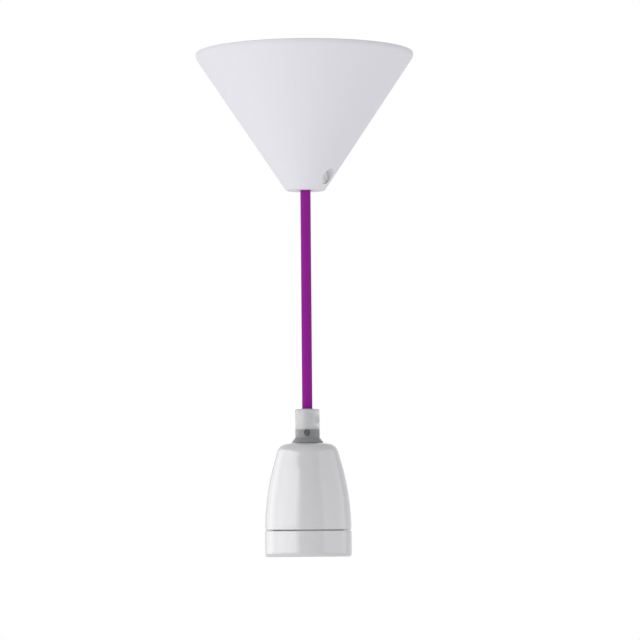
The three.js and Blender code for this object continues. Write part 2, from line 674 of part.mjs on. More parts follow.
// Threaded tube through the crown of the dome, with its washer and nut
function nipplePieces() {
  const washerTop = domeTop - DOME_CROWN - TOUCH;
  const nutTop = washerTop - WASHER_THICKNESS - TOUCH;
  const bore = NIPPLE_RADIUS + TOUCH;
  const chamfer = NIPPLE_CHAMFER;
  const nippleBottom = nippleTop - NIPPLE_LENGTH;
  const nut = outline(circle(0, 0, NUT_ACROSS_FLATS / Math.sqrt(3), 6), circle(0, 0, bore, 24));
  return [
    piece('nipple', 'zincSteel', turned([
      [NIPPLE_BORE, nippleTop], [NIPPLE_RADIUS - chamfer, nippleTop],
      [NIPPLE_RADIUS, nippleTop - chamfer], [NIPPLE_RADIUS, nippleBottom + chamfer],
      [NIPPLE_RADIUS - chamfer, nippleBottom], [NIPPLE_BORE, nippleBottom],
    ], 28)),
    piece('nipple_washer', 'zincSteel', turned([
      [bore, washerTop], [WASHER_RADIUS, washerTop],
      [WASHER_RADIUS, washerTop - WASHER_THICKNESS], [bore, washerTop - WASHER_THICKNESS],
    ], 28)),
    piece('nipple_nut', 'zincSteel', alongZ(nut, nutTop - NUT_HEIGHT, nutTop)),
  ];
}

// Porcelain dome, hollow and open below
function domePiece() {
  const boreRadius = SPIGOT_RADIUS + TOUCH;
  const inside = (depth) => [domeRadius(depth) - DOME_WALL, domeTop - depth];
  const boreTop = domeTop - (blockTop + TOUCH);
  const hollow = DOME_OUTLINE.map((row) => row[0])
    .filter((depth) => depth > DOME_CROWN + DOME_CHAMFER && depth < boreTop).map(inside)
    .filter(([radius]) => radius < boreRadius);
  return piece('porcelain_dome', 'porcelain', turned([
    [NIPPLE_RADIUS + TOUCH, domeTop],
    [DOME_CROWN_RADIUS, domeTop],
    ...DOME_OUTLINE.map(([depth, radius]) => [radius, domeTop - depth]),
    ...arc(RING_RADIUS - DOME_EDGE, domeBottom + DOME_EDGE, DOME_EDGE, 0, -90, 3),
    [boreRadius, domeBottom],
    [boreRadius, blockTop + TOUCH],
    ...hollow.reverse(),
    [domeRadius(DOME_CROWN) - DOME_WALL - DOME_CHAMFER, domeTop - DOME_CROWN],
    [NIPPLE_RADIUS + TOUCH, domeTop - DOME_CROWN],
  ], 44));
}

// Porcelain ring: a band that carries on the dome's outline, a spigot inside and a lip below
function ringPiece() {
  const bore = CONTACT_BLOCK_RADIUS + TOUCH;
  return piece('porcelain_ring', 'porcelain', turned([
    [SPIGOT_RADIUS, spigotTop],
    [SPIGOT_RADIUS, ringTop],
    ...arc(RING_RADIUS - DOME_EDGE, ringTop - DOME_EDGE, DOME_EDGE, 90, 0, 3),
    ...arc(RING_RADIUS - RING_FOOT_FILLET, ringBottom + RING_FOOT_FILLET, RING_FOOT_FILLET,
      0, -90, 5),
    [LIP_BORE + LIP_CHAMFER, ringBottom],
    [LIP_BORE, ringBottom + LIP_CHAMFER],
    [LIP_BORE, ringBottom + LIP_THICKNESS],
    [bore, ringBottom + LIP_THICKNESS],
    [bore, spigotTop],
  ], 44));
}

// Porcelain contact block: a flanged cup that hangs on the spigot, its floor drilled for rivets
function contactBlockPiece() {
  const bore = CONTACT_BLOCK_RADIUS - CONTACT_BLOCK_WALL;
  const cup = turned([
    [0, blockTop],
    [SPIGOT_RADIUS - TOUCH, blockTop],
    [SPIGOT_RADIUS - TOUCH, blockUnderside],
    [CONTACT_BLOCK_RADIUS, blockUnderside],
    [CONTACT_BLOCK_RADIUS, ringBottom + LIP_THICKNESS + TOUCH],
    [bore, ringBottom + LIP_THICKNESS + TOUCH],
    [bore, blockUnderside],
    [0, blockUnderside],
  ], 36);
  const holes = [[CONTACT_RIVET_X, 0], ...shellRivets].map(([x, y]) => rod(
    [x, y, blockUnderside - 1], [x, y, blockTop + 1], RIVET_RADIUS + TOUCH, 12));
  return piece('contact_block', 'porcelain', cut(cup, ...holes));
}

// Rolled thread: a sheet whose section waves at the thread's pitch, with a flange for its rivets
function threadShellPiece() {
  const top = blockUnderside - TOUCH;
  const bottom = ringBottom + LIP_THICKNESS + TOUCH;
  const length = top - SHELL_SHEET - bottom;
  const steps = Math.round(length / THREAD_PITCH * 2);
  const wave = (offset) => Array.from({ length: steps + 1 }, (_, i) => {
    const z = bottom + length * i / steps;
    const swing = (1 - Math.cos((z - bottom) / THREAD_PITCH * 2 * Math.PI)) / 2;
    return [THREAD_CREST + swing * THREAD_DEPTH + offset, z];
  });
  const shell = turned([
    ...wave(SHELL_SHEET),
    [THREAD_CREST + THREAD_DEPTH / 2 + SHELL_SHEET, top],
    [SHELL_FLANGE_BORE, top],
    [SHELL_FLANGE_BORE, top - SHELL_SHEET],
    ...wave(0).reverse(),
  ], 32);
  const holes = shellRivets.map(([x, y]) => rod([x, y, top - 2], [x, y, top + 2],
    RIVET_RADIUS + TOUCH, 12));
  return piece('thread_shell', 'brass', cut(shell, ...holes));
}

// A rivet up through the floor of the contact block
function rivet(name, [x, y], seat, top) {
  return piece(name, 'brass', join(
    rod([x, y, seat - RIVET_HEAD], [x, y, seat], RIVET_HEAD_RADIUS),
    rod([x, y, seat - RIVET_HEAD / 2], [x, y, top + RIVET_HEAD / 2], RIVET_RADIUS, 12),
    rod([x, y, top], [x, y, top + RIVET_HEAD], RIVET_HEAD_RADIUS),
  ));
}

// A terminal post on its foot, with a wire hole from above and a clamping screw from outside
function terminalPieces(side, sign, footInside, footSpread, rivetPlace) {
  const low = blockTop + TOUCH;
  const high = low + TERMINAL_HEIGHT;
  const outer = TERMINAL_X + TERMINAL_WIDTH / 2;
  const half = TERMINAL_DEPTH / 2;
  const xs = (a, b) => [Math.min(sign * a, sign * b), Math.max(sign * a, sign * b)];
  const screwLevel = high - TERMINAL_BORE_DEPTH / 2;
  const tip = TERMINAL_X + CORE_DIAMETER / 2 + TOUCH;
  const head = outer + TOUCH;
  const at = (distance) => [sign * distance, 0, screwLevel];
  const body = cut(
    join(
      block(...xs(footInside, outer), -half, footSpread, low, low + TERMINAL_FOOT),
      block(...xs(TERMINAL_X - TERMINAL_WIDTH / 2, outer), -half, half, low, high),
    ),
    rod([sign * TERMINAL_X, 0, high - TERMINAL_BORE_DEPTH], [sign * TERMINAL_X, 0, high + 1],
      CORE_DIAMETER / 2 + TOUCH),
    rod(at(TERMINAL_X), at(outer + 1), TERMINAL_SCREW_RADIUS + TOUCH, 12),
    rod([...rivetPlace, low - 1], [...rivetPlace, low + TERMINAL_FOOT + 1],
      RIVET_RADIUS + TOUCH, 12),
  );
  const screw = slotted(join(
    rod(at(tip), at(head + TERMINAL_SCREW_HEAD / 2), TERMINAL_SCREW_RADIUS, 10),
    rod(at(head), at(head + TERMINAL_SCREW_HEAD), TERMINAL_SCREW_HEAD_RADIUS),
  ), at(head + TERMINAL_SCREW_HEAD), TERMINAL_SCREW_HEAD_RADIUS, 0);
  return [
    piece(`terminal_${side}`, 'brass', body),
    piece(`terminal_screw_${side}`, 'zincSteel', screw),
  ];
}

// Contacts and terminals on the contact block
function contactPieces() {
  const under = blockUnderside - TOUCH;
  const start = CONTACT_RIVET_X - RIVET_HEAD_RADIUS;
  const bend = CONTACT_RIVET_X + RIVET_HEAD_RADIUS + TOUCH;
  const foot = bend + CONTACT_SLOPE;
  const end = start + CONTACT_REACH;
  const low = under - CONTACT_DROP;
  const sheet = CONTACT_SHEET;
  const spring = outline([
    [start, under], [bend, under], [foot, low + sheet], [end - CONTACT_TIP, low + sheet],
    [end - sheet, low + CONTACT_TIP], [end, low + CONTACT_TIP - sheet],
    [end - CONTACT_TIP + sheet, low], [foot - sheet, low], [bend - sheet, under - sheet],
    [start, under - sheet],
  ]);
  const springCut = rod([CONTACT_RIVET_X, 0, under - 2], [CONTACT_RIVET_X, 0, under + 2],
    RIVET_RADIUS + TOUCH, 12);
  const footTop = blockTop + TOUCH + TERMINAL_FOOT;
  const [shellRivet, plainRivet] = shellRivets;
  const footMargin = RIVET_HEAD_RADIUS + TERMINAL_FOOT_MARGIN;
  return [
    piece('centre_contact', 'brass',
      cut(alongY(spring, -CONTACT_WIDTH / 2, CONTACT_WIDTH / 2), springCut)),
    rivet('contact_rivet', [CONTACT_RIVET_X, 0], under - CONTACT_SHEET - TOUCH, footTop + TOUCH),
    rivet('shell_rivet_1', shellRivet, under - SHELL_SHEET - TOUCH, footTop + TOUCH),
    rivet('shell_rivet_2', plainRivet, under - SHELL_SHEET - TOUCH, blockTop + TOUCH),
    ...terminalPieces('left', -1, -CONTACT_RIVET_X - footMargin, TERMINAL_DEPTH / 2,
      [CONTACT_RIVET_X, 0]),
    ...terminalPieces('right', 1, shellRivet[0] - footMargin, shellRivet[1] + footMargin,
      shellRivet),
  ];
}

const set = new THREE.Group();
set.add(
  ...canopyPieces(),
  ...strapPieces(),
  ...pinPieces(),
  ...anchorPieces(),
  ...terminalBlockPieces(),
  ...cordPieces(),
  ...corePieces(),
  ...gripPieces(),
  ...nipplePieces(),
  domePiece(),
  ringPiece(),
  contactBlockPiece(),
  threadShellPiece(),
  ...contactPieces(),
);

export default set;
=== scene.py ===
import math

import bmesh
import bpy
import numpy as np
from mathutils import Matrix, Vector


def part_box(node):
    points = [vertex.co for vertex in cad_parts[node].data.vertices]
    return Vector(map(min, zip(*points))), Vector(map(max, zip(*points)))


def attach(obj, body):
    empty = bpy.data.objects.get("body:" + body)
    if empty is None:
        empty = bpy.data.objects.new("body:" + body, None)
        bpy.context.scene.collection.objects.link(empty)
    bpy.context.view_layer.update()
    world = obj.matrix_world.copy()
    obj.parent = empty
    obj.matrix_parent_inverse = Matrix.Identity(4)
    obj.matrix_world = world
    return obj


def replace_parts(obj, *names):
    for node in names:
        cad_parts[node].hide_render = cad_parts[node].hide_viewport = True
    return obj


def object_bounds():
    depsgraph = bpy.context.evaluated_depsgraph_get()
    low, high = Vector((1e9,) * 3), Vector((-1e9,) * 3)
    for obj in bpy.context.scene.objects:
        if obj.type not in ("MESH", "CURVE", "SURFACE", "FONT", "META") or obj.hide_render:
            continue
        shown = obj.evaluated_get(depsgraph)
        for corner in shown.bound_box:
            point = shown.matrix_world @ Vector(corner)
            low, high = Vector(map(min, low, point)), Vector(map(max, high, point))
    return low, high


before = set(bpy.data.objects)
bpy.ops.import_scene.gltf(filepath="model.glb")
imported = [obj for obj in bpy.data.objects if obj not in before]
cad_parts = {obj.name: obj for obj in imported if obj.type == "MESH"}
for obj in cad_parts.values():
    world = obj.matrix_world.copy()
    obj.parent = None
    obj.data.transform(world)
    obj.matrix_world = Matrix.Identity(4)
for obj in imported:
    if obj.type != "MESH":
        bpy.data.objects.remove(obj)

# Boxes of the solids, before anything is added
cad_low, cad_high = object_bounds()

MM = 0.001

# Photograph: its frame in pixels, and where the set stands in it
FRAME_PX = 640
SENSOR_MM = 36.0
FOCAL_PX = 3650.0
MM_PER_PX = 0.5434
CAMERA_DISTANCE = FOCAL_PX * MM_PER_PX * MM
EYE_LEVEL_PX = 560.0
AXIS_PX = 306.5
AXIS_LEAN = math.radians(0.5)
HOLDER_FOOT_PX = 556.7

# Cord and its coil, with the turns over which the coil steps out, down and up
CORD_DIAMETER = 5.5 * MM
CORD_RADIUS = CORD_DIAMETER / 2
COIL_INNER_TURN = 28 * MM
COIL_START_ANGLE = 45.0
COIL_STEP_OUT = (2.60, 2.75)
COIL_STEPS_DOWN = ((0.75, 0.90), (1.75, 1.90))
COIL_STEPS_UP = ((3.45, 3.60), (4.45, 4.60))
COIL_END = 5.42
COIL_SAMPLES = 90
COIL_FIRST_KEY = 4
COIL_KEY_STEP = 6
COIL_EASE = 2.5 * MM
HIDDEN_STEP = 1.6 * MM
SEEN_STEP = 0.3 * MM

# Braid with the length of it in view, the sheath left bare at both ends, and the cores inside
BRAID_STRANDS = 16
BRAID_TURNS = 60.0
BRAID_RELIEF = 0.1 * MM
BRAID_IN_VIEW = 160 * MM
YARNS = 4.0
TEXTILE_COLOR = (0.345, 0.013, 0.35)
SLEEVE_THICKNESS = 0.25 * MM
SLEEVE_EDGE = 0.4 * MM
BARE_TAIL = 7 * MM
BARE_END = 34.6 * MM
CORE_RADIUS = 1.1 * MM
CORE_OFFSET = 1.4
CORE_GAP = 0.3

# Route of the cord in millimetres: up from the holder, into the coil, out of it and to its end
CORD_DROP_ROUTE = [
    (0, 0, -229.6), (0, 0, -215), (0, 0, -200), (0, 0, -187), (0, 0, -174), (0, 0, -161),
    (0, 0, -148), (0, 0, -135), (0, 0, -122), (0, 0, -109), (0, 0, -96), (0, 0, -83),
    (0, 0, -70), (0, 0, -57), (0, 0, -44), (0, 0, -36.4), (0, 0, -30.4), (0.6, 0, -26.7),
    (2.2, 0, -23.3), (4.9, 0, -20.6), (8.2, 0, -19.1), (11.6, 0, -18.8), (15, 0.5, -18.8),
    (18.2, 2.1, -18.8), (20.5, 4.2, -18.8), (21.5, 5.6, -18.8),
]
COIL_ENTRY_ROUTE = [
    (22.8, 8.2, -18.85), (23.4, 11.8, -18.95), (22.8, 15.5, -19), (21, 18.9, -19.1),
]
COIL_EXIT_ROUTE = [(-28.4, -17.8, -18), (-22.2, -25.1, -15.8), (-14.2, -30.3, -13.8)]
CORD_TAIL_ROUTE = [
    (-4.6, -33.2, -12.9), (-1, -33.5, -12.9), (2.8, -33.2, -12.6), (7, -31.9, -12.1),
    (11.2, -29.6, -11.3), (14.5, -26.6, -10.3), (16.9, -23, -9.2), (17.9, -19.8, -8.5),
    (18.1, -16.8, -8.2),
]

# Holes for the cord and for the threaded tube, and the gap at a joint, in millimetres
CORD_HOLE = 3.05
TUBE_HOLE = 5.3
JOINT_GAP = 0.3

# Canopy, in millimetres and degrees
CANOPY_WALL = 2
RIM_BAND = 2.3
RIM_ROUND = 3.6
NECK_RADIUS = 10.6
NECK_HEIGHT = 14
SCREW_SEAT_ANGLE = -34
SCREW_SEAT_LEVEL = 7
SCREW_SEAT_FLOOR = 10
SCREW_SEAT_RADIUS = 4.1
SCREW_HOLE_RADIUS = 2.3

# Grip, in millimetres and degrees
GRIP_RADIUS = 6.65
GRIP_FOOT_RADIUS = 8.5
GRIP_SCREW_INSET = 5.4
GRIP_SCREW_ANGLE = 50
GRIP_SCREW_HOLE = 1.9
LOCK_SCREW_ANGLE = -92
LOCK_SCREW_HOLE = 1.7

# Threaded tube, in millimetres
TUBE_RADIUS = 5
TUBE_BORE = 3.6
TUBE_THREAD_DEPTH = 0.55

# Porcelain, in millimetres: the dome's outline is (depth below its top, radius)
HOLDER_RADIUS = 23.6
SPIGOT_RADIUS = 18.9
SPIGOT_BORE = 16.7
LIP_RADIUS = 14.3
LIP_HEIGHT = 3.3
DOME_WALL_TOP = 4
DOME_OUTLINE = [
    (0, 11), (0.3, 12.3), (0.7, 13.5), (1.3, 14.5), (1.9, 15.15), (2.9, 15.85), (4.1, 16.5),
    (7.3, 17.45), (10.6, 18.4), (13.8, 19.3), (16.6, 19.95), (21.9, 21.05), (27.4, 22),
    (33.9, 22.8), (40.4, 23.3), (45.8, 23.55),
]

# Bulb thread and its two rivets, in millimetres and degrees
THREAD_PITCH = 3.63
THREAD_DEPTH = 0.95
SHELL_RADIUS = 13.22
SHELL_WALL = 0.4
SHELL_HOLE = 8.6
RIVET_CIRCLE = 10.6
RIVET_HOLE = 1.5
RIVET_ANGLE = 38

MATERIALS = {}

# Plain finishes: colour, mottle, roughness and its swing, grain in cells a metre and its depth
PLAIN_FINISHES = {
    "canopy_plastic": ((0.765, 0.765, 0.8), 0.03, 0.6, 0.1, 900, 0.012 * MM,
                       {"IOR": 1.5, "Specular IOR Level": 0.25}),
    "brass": ((0.72, 0.55, 0.27), 0.3, 0.3, 0.25, 1200, 0.006 * MM, {"Metallic": 1.0}),
    "white_nylon": ((0.76, 0.75, 0.70), 0.06, 0.45, 0.15, 700, 0.01 * MM, {"IOR": 1.5}),
    "brown_insulation": ((0.13, 0.05, 0.025), 0.12, 0.4, 0.15, 900, 0.01 * MM, {}),
    "blue_insulation": ((0.03, 0.11, 0.40), 0.12, 0.4, 0.15, 900, 0.01 * MM, {}),
}

# Finishes that mirror the panels beside the set
SHINING = ("porcelain", "clear_plastic")

# Solids that are shown with their edges broken, by how much in millimetres, and their finish
SMALL_PIECES = [
    ("canopy_screw", 0.2, "white_nylon"), ("ceiling_strap", 0.3, "zinc_steel"),
    ("anchor_pin", 0.25, "zinc_steel"), ("pin_clip", 0.15, "zinc_steel"),
    ("cord_anchor", 0.5, "white_nylon"), ("anchor_clamp", 0.5, "white_nylon"),
    ("anchor_screw_1", 0.2, "zinc_steel"), ("anchor_screw_2", 0.2, "zinc_steel"),
    ("terminal_block", 0.4, "white_nylon"), ("pole_1", 0.2, "brass"), ("pole_2", 0.2, "brass"),
    ("pole_screw_1", 0.15, "zinc_steel"), ("pole_screw_2", 0.15, "zinc_steel"),
    ("pole_screw_3", 0.15, "zinc_steel"), ("pole_screw_4", 0.15, "zinc_steel"),
    ("block_screw", 0.15, "zinc_steel"), ("grip_screw", 0.2, "clear_plastic"),
    ("lock_screw", 0.2, "zinc_steel"), ("nipple_washer", 0.2, "zinc_steel"),
    ("nipple_nut", 0.35, "zinc_steel"), ("contact_block", 0.5, "porcelain"),
    ("centre_contact", 0.12, "brass"), ("contact_rivet", 0.25, "brass"),
    ("shell_rivet_1", 0.25, "brass"), ("shell_rivet_2", 0.25, "brass"),
    ("terminal_left", 0.25, "brass"), ("terminal_right", 0.25, "brass"),
    ("terminal_screw_left", 0.2, "zinc_steel"), ("terminal_screw_right", 0.2, "zinc_steel"),
]

# Light and floor. The floor's shade and glow differ where it is looked at and where it lights
FILL_LIGHT = 0.89
FILL_COLOR = (0.972, 0.968, 1, 1)
CEILING_LIGHT = 0.25
WHITE = (1, 1, 1, 1)
FLOOR_SEEN = (0.42, 0.56)
FLOOR_LIGHTING = (0.8, 0.5)
FLOOR_LEVEL = -0.42
FLOOR_RADIUS = 1.6

# Panels beside the set: angle round it, distance, level, width, height, radiance, mirrored
PANELS = {
    "left_panel": (-57, 1.5, -0.1, 1.8, 1.6, 0.9, False),
    "left_window": (-79, 1.5, 0.22, 3.4, 1.4, 1.8, True),
    "left_curtain": (-84, 1.5, 0.22, 5.8, 1.4, 1.3, True),
    "right_window": (80, 1.6, 0.22, 2.6, 1.4, 1.1, True),
}


# Camera and stage

def make_camera():
    """A camera on the -Y side of the set, at the photograph's eye level, rolled with its lean."""
    camera = bpy.data.objects.new("photo_camera", bpy.data.cameras.new("photo_camera"))
    bpy.context.scene.collection.objects.link(camera)
    camera.data.sensor_width = SENSOR_MM
    camera.data.lens = FOCAL_PX / FRAME_PX * SENSOR_MM
    camera.data.clip_start = 0.05
    camera.data.clip_end = 60
    px = MM_PER_PX * MM
    eye_level = cad_low.z - (EYE_LEVEL_PX - HOLDER_FOOT_PX) * px
    middle = FRAME_PX / 2
    aim = Vector(((middle - AXIS_PX) * px, 0, eye_level + (EYE_LEVEL_PX - middle) * px))
    eye = Vector((aim.x, -CAMERA_DISTANCE, eye_level))
    turn = (aim - eye).to_track_quat("-Z", "Y").to_matrix().to_4x4()
    camera.matrix_world = Matrix.Translation(eye) @ turn @ Matrix.Rotation(-AXIS_LEAN, 4, "Z")
    bpy.context.scene.camera = camera
    bpy.context.scene.view_settings.view_transform = "Standard"


def fed(tree, made, inputs):
    """The node with each of the inputs linked to a socket or set to a constant."""
    for key, value in inputs.items():
        if isinstance(value, bpy.types.NodeSocket):
            tree.links.new(value, made.inputs[key])
        else:
            made.inputs[key].default_value = value
    return made


def node(tree, kind, inputs=(), **settings):
    """A new shader node with its settings made and its inputs fed."""
    made = tree.nodes.new(f"ShaderNode{kind}")
    for key, value in settings.items():
        setattr(made, key, value)
    return fed(tree, made, dict(inputs))


def math_node(tree, operation, *values):
    """The output of a sum on one to three values."""
    return node(tree, "Math", dict(enumerate(values)), operation=operation).outputs[0]


def looked_at(tree):
    """1 where the camera, a mirror or a clear piece looks, 0 where light is gathered."""
    ray = node(tree, "LightPath").outputs
    looks = math_node(tree, "MAXIMUM", ray["Is Camera Ray"], ray["Is Glossy Ray"])
    return math_node(tree, "MAXIMUM", looks, ray["Is Transmission Ray"])


def make_world():
    """White where it is looked at, softer where it lights, and softest from straight above."""
    world = bpy.data.worlds.new("plain_white")
    world.use_nodes = True
    tree = world.node_tree
    tree.nodes.clear()
    upwards = node(tree, "SeparateXYZ", {0: node(tree, "TexCoord").outputs["Generated"]})
    strength = node(tree, "MapRange", {
        0: upwards.outputs[2], 1: 0.0, 2: 1.0, 3: FILL_LIGHT, 4: CEILING_LIGHT})
    fill = node(tree, "Background", {"Color": FILL_COLOR, "Strength": strength.outputs[0]})
    white = node(tree, "Background", {"Color": WHITE, "Strength": 1})
    mix = node(tree, "MixShader", {
        0: looked_at(tree), 1: fill.outputs[0], 2: white.outputs[0]})
    node(tree, "OutputWorld", {"Surface": mix.outputs[0]})
    bpy.context.scene.world = world


def glowing(tree, shade, glow):
    """A diffuse grey that also gives out a little light of its own."""
    grey = node(tree, "BsdfDiffuse", {"Color": (shade, shade, shade, 1)})
    light = node(tree, "Emission", {"Color": WHITE, "Strength": glow})
    return node(tree, "AddShader", {0: grey.outputs[0], 1: light.outputs[0]}).outputs[0]


def make_floor():
    """A pale disc below the set. The camera sees it near white with the shadow on it, and from
    below it is clear."""
    angle = np.linspace(0, 2 * math.pi, 96, endpoint=False)
    rim = np.stack([np.cos(angle), np.sin(angle), 0 * angle], axis=1) * FLOOR_RADIUS
    mesh = bpy.data.meshes.new("floor")
    mesh.from_pydata((rim + (0, 0, FLOOR_LEVEL)).tolist(), [], [list(range(len(rim)))])
    floor = bpy.data.objects.new("floor", mesh)
    bpy.context.scene.collection.objects.link(floor)
    material = bpy.data.materials.new("floor_pale")
    material.use_nodes = True
    tree = material.node_tree
    tree.nodes.clear()
    above = node(tree, "MixShader", {
        0: looked_at(tree), 1: glowing(tree, *FLOOR_LIGHTING), 2: glowing(tree, *FLOOR_SEEN)})
    below = node(tree, "NewGeometry").outputs["Backfacing"]
    clear = node(tree, "BsdfTransparent", {"Color": WHITE})
    mix = node(tree, "MixShader", {0: below, 1: above.outputs[0], 2: clear.outputs[0]})
    node(tree, "OutputMaterial", {"Surface": mix.outputs[0]})
    mesh.materials.append(material)


def make_panel(name, azimuth, distance, level, width, height, radiance, mirrored):
    """A lit panel that faces the set, at an angle round it from the camera's side. It stands
    before the white surroundings, so its own radiance comes on top of theirs. A mirrored one
    gives no light and is only seen in the shining finishes."""
    light = bpy.data.lights.new(name, "AREA")
    light.shape = "RECTANGLE"
    light.size = width
    light.size_y = height
    light.energy = radiance * math.pi * width * height
    lamp = bpy.data.objects.new(name, light)
    bpy.context.scene.collection.objects.link(lamp)
    angle = math.radians(azimuth)
    place = Vector((distance * math.sin(angle), -distance * math.cos(angle), level))
    aim = Vector((0, 0, (cad_low.z + cad_high.z) / 2))
    turn = (aim - place).to_track_quat("-Z", "Y").to_matrix().to_4x4()
    lamp.matrix_world = Matrix.Translation(place) @ turn
    lamp.visible_camera = False
    if mirrored:
        lamp.visible_diffuse = False
        lamp.light_linking.receiver_collection = bpy.data.collections["shining"]


# Shared surface effects, each a node group

def group(name, inputs, outputs, build):
    """A node group with named inputs (label: default) and outputs (label: kind). build gets the
    tree and the inputs and returns the outputs' values."""
    tree = bpy.data.node_groups.new(name, "ShaderNodeTree")
    for label, default in inputs.items():
        kind = "Vector" if default is None else "Color" if isinstance(default, tuple) else "Float"
        made = tree.interface.new_socket(label, in_out="INPUT", socket_type=f"NodeSocket{kind}")
        if default is not None:
            made.default_value = default
    for label, kind in outputs.items():
        tree.interface.new_socket(label, in_out="OUTPUT", socket_type=f"NodeSocket{kind}")
    given = tree.nodes.new("NodeGroupInput").outputs
    shown = tree.nodes.new("NodeGroupOutput").inputs
    for label, value in build(tree, given).items():
        tree.links.new(value, shown[label])
    return tree


def noise(tree, place, scale, detail=3.0, roughness=0.5):
    """A soft noise between 0 and 1."""
    inputs = {"Vector": place, "Scale": scale, "Detail": detail, "Roughness": roughness}
    return node(tree, "TexNoise", inputs, normalize=True).outputs[0]


def mottle_group():
    """The colour made lighter and darker by a soft noise."""
    def build(tree, given):
        spot = noise(tree, given["Place"], given["Scale"], 4.0, 0.6)
        centred = math_node(tree, "SUBTRACT", spot, 0.5)
        swing = math_node(tree, "MULTIPLY_ADD", centred, given["Amount"], 1.0)
        scaled = node(tree, "VectorMath", {0: given["Color"], "Scale": swing}, operation="SCALE")
        return {"Color": scaled.outputs[0]}
    inputs = {"Place": None, "Color": (0.8, 0.8, 0.8, 1), "Amount": 0.1, "Scale": 100.0}
    return group("Mottle", inputs, {"Color": "Color"}, build)


def grain_group():
    """Fine relief of two sizes: Depth in metres, Scale in cells a metre."""
    def build(tree, given):
        coarse = noise(tree, given["Place"], given["Scale"])
        fine = noise(tree, given["Place"], math_node(tree, "MULTIPLY", given["Scale"], 6.0))
        both = math_node(tree, "MULTIPLY_ADD", fine, 0.25, coarse)
        raised = node(tree, "Bump", {
            "Strength": 1.0, "Distance": given["Depth"], "Height": both})
        return {"Normal": raised.outputs[0], "Value": coarse}
    inputs = {"Place": None, "Scale": 400.0, "Depth": 0.01 * MM}
    return group("Grain", inputs, {"Normal": "Vector", "Value": "Float"}, build)


def braid_group():
    """Two families of strands cross over and under each other. Surface is turns round the cord
    and metres along it."""
    def build(tree, given):
        parts = node(tree, "SeparateXYZ", {0: given["Surface"]}).outputs
        lean = math_node(tree, "MULTIPLY", parts[1], given["Turns a Metre"])
        count = given["Strands"]
        right = math_node(tree, "MULTIPLY", math_node(tree, "ADD", parts[0], lean), count)
        left = math_node(tree, "MULTIPLY", math_node(tree, "SUBTRACT", parts[0], lean), count)
        floors = [math_node(tree, "FLOOR", family) for family in (right, left)]
        over = math_node(tree, "FLOORED_MODULO", math_node(tree, "ADD", *floors), 2.0)

        def waves(value, times):
            turn = math_node(tree, "MULTIPLY", value, math.pi * times)
            return math_node(tree, "ABSOLUTE", math_node(tree, "SINE", turn))

        def woven(times):
            mixed = node(tree, "Mix", {0: over, 2: waves(left, times), 3: waves(right, times)})
            return mixed.outputs[0]

        return {"Over": over, "Ridge": woven(1), "Yarn": woven(YARNS)}
    inputs = {"Surface": None, "Strands": 16.0, "Turns a Metre": 60.0}
    return group("Braid", inputs, {"Over": "Float", "Ridge": "Float", "Yarn": "Float"}, build)


def wear_group():
    """A roughness that wanders a little round its middle value."""
    def build(tree, given):
        patch = noise(tree, given["Place"], given["Scale"], 5.0, 0.65)
        centred = math_node(tree, "SUBTRACT", patch, 0.5)
        value = math_node(tree, "MULTIPLY_ADD", centred, given["Swing"], given["Roughness"])
        return {"Roughness": value}
    inputs = {"Place": None, "Roughness": 0.4, "Swing": 0.2, "Scale": 150.0}
    return group("Wear", inputs, {"Roughness": "Float"}, build)


# Materials

def shared(tree, name, inputs):
    """The outputs of a node in the material for one of the shared groups."""
    made = tree.nodes.new("ShaderNodeGroup")
    made.node_tree = bpy.data.node_groups[name]
    return fed(tree, made, inputs).outputs


def new_material(name):
    """An empty material, its tree and the place of each point on its object."""
    material = bpy.data.materials.new(name)
    material.use_nodes = True
    tree = material.node_tree
    tree.nodes.clear()
    MATERIALS[name] = material
    return tree, node(tree, "TexCoord").outputs


def finish_material(tree, shader):
    """The shader, put out as the material's surface."""
    node(tree, "OutputMaterial", {"Surface": shader.outputs[0]})


def make_plain(name, color, mottle, roughness, swing, scale, depth, fixed):
    """A surface of one colour with a soft mottle, a wandering roughness and fine relief. fixed
    holds the shader's own constants."""
    tree, coordinates = new_material(name)
    place = coordinates["Object"]
    tinted = shared(tree, "Mottle", {
        "Place": place, "Color": (*color, 1), "Amount": mottle, "Scale": scale * 0.3})
    worn = shared(tree, "Wear", {
        "Place": place, "Roughness": roughness, "Swing": swing, "Scale": scale * 0.2})
    grain = shared(tree, "Grain", {"Place": place, "Scale": scale, "Depth": depth})
    shader = node(tree, "BsdfPrincipled", {
        "Base Color": tinted["Color"], "Roughness": worn["Roughness"], "Normal": grain["Normal"],
        **fixed})
    finish_material(tree, shader)


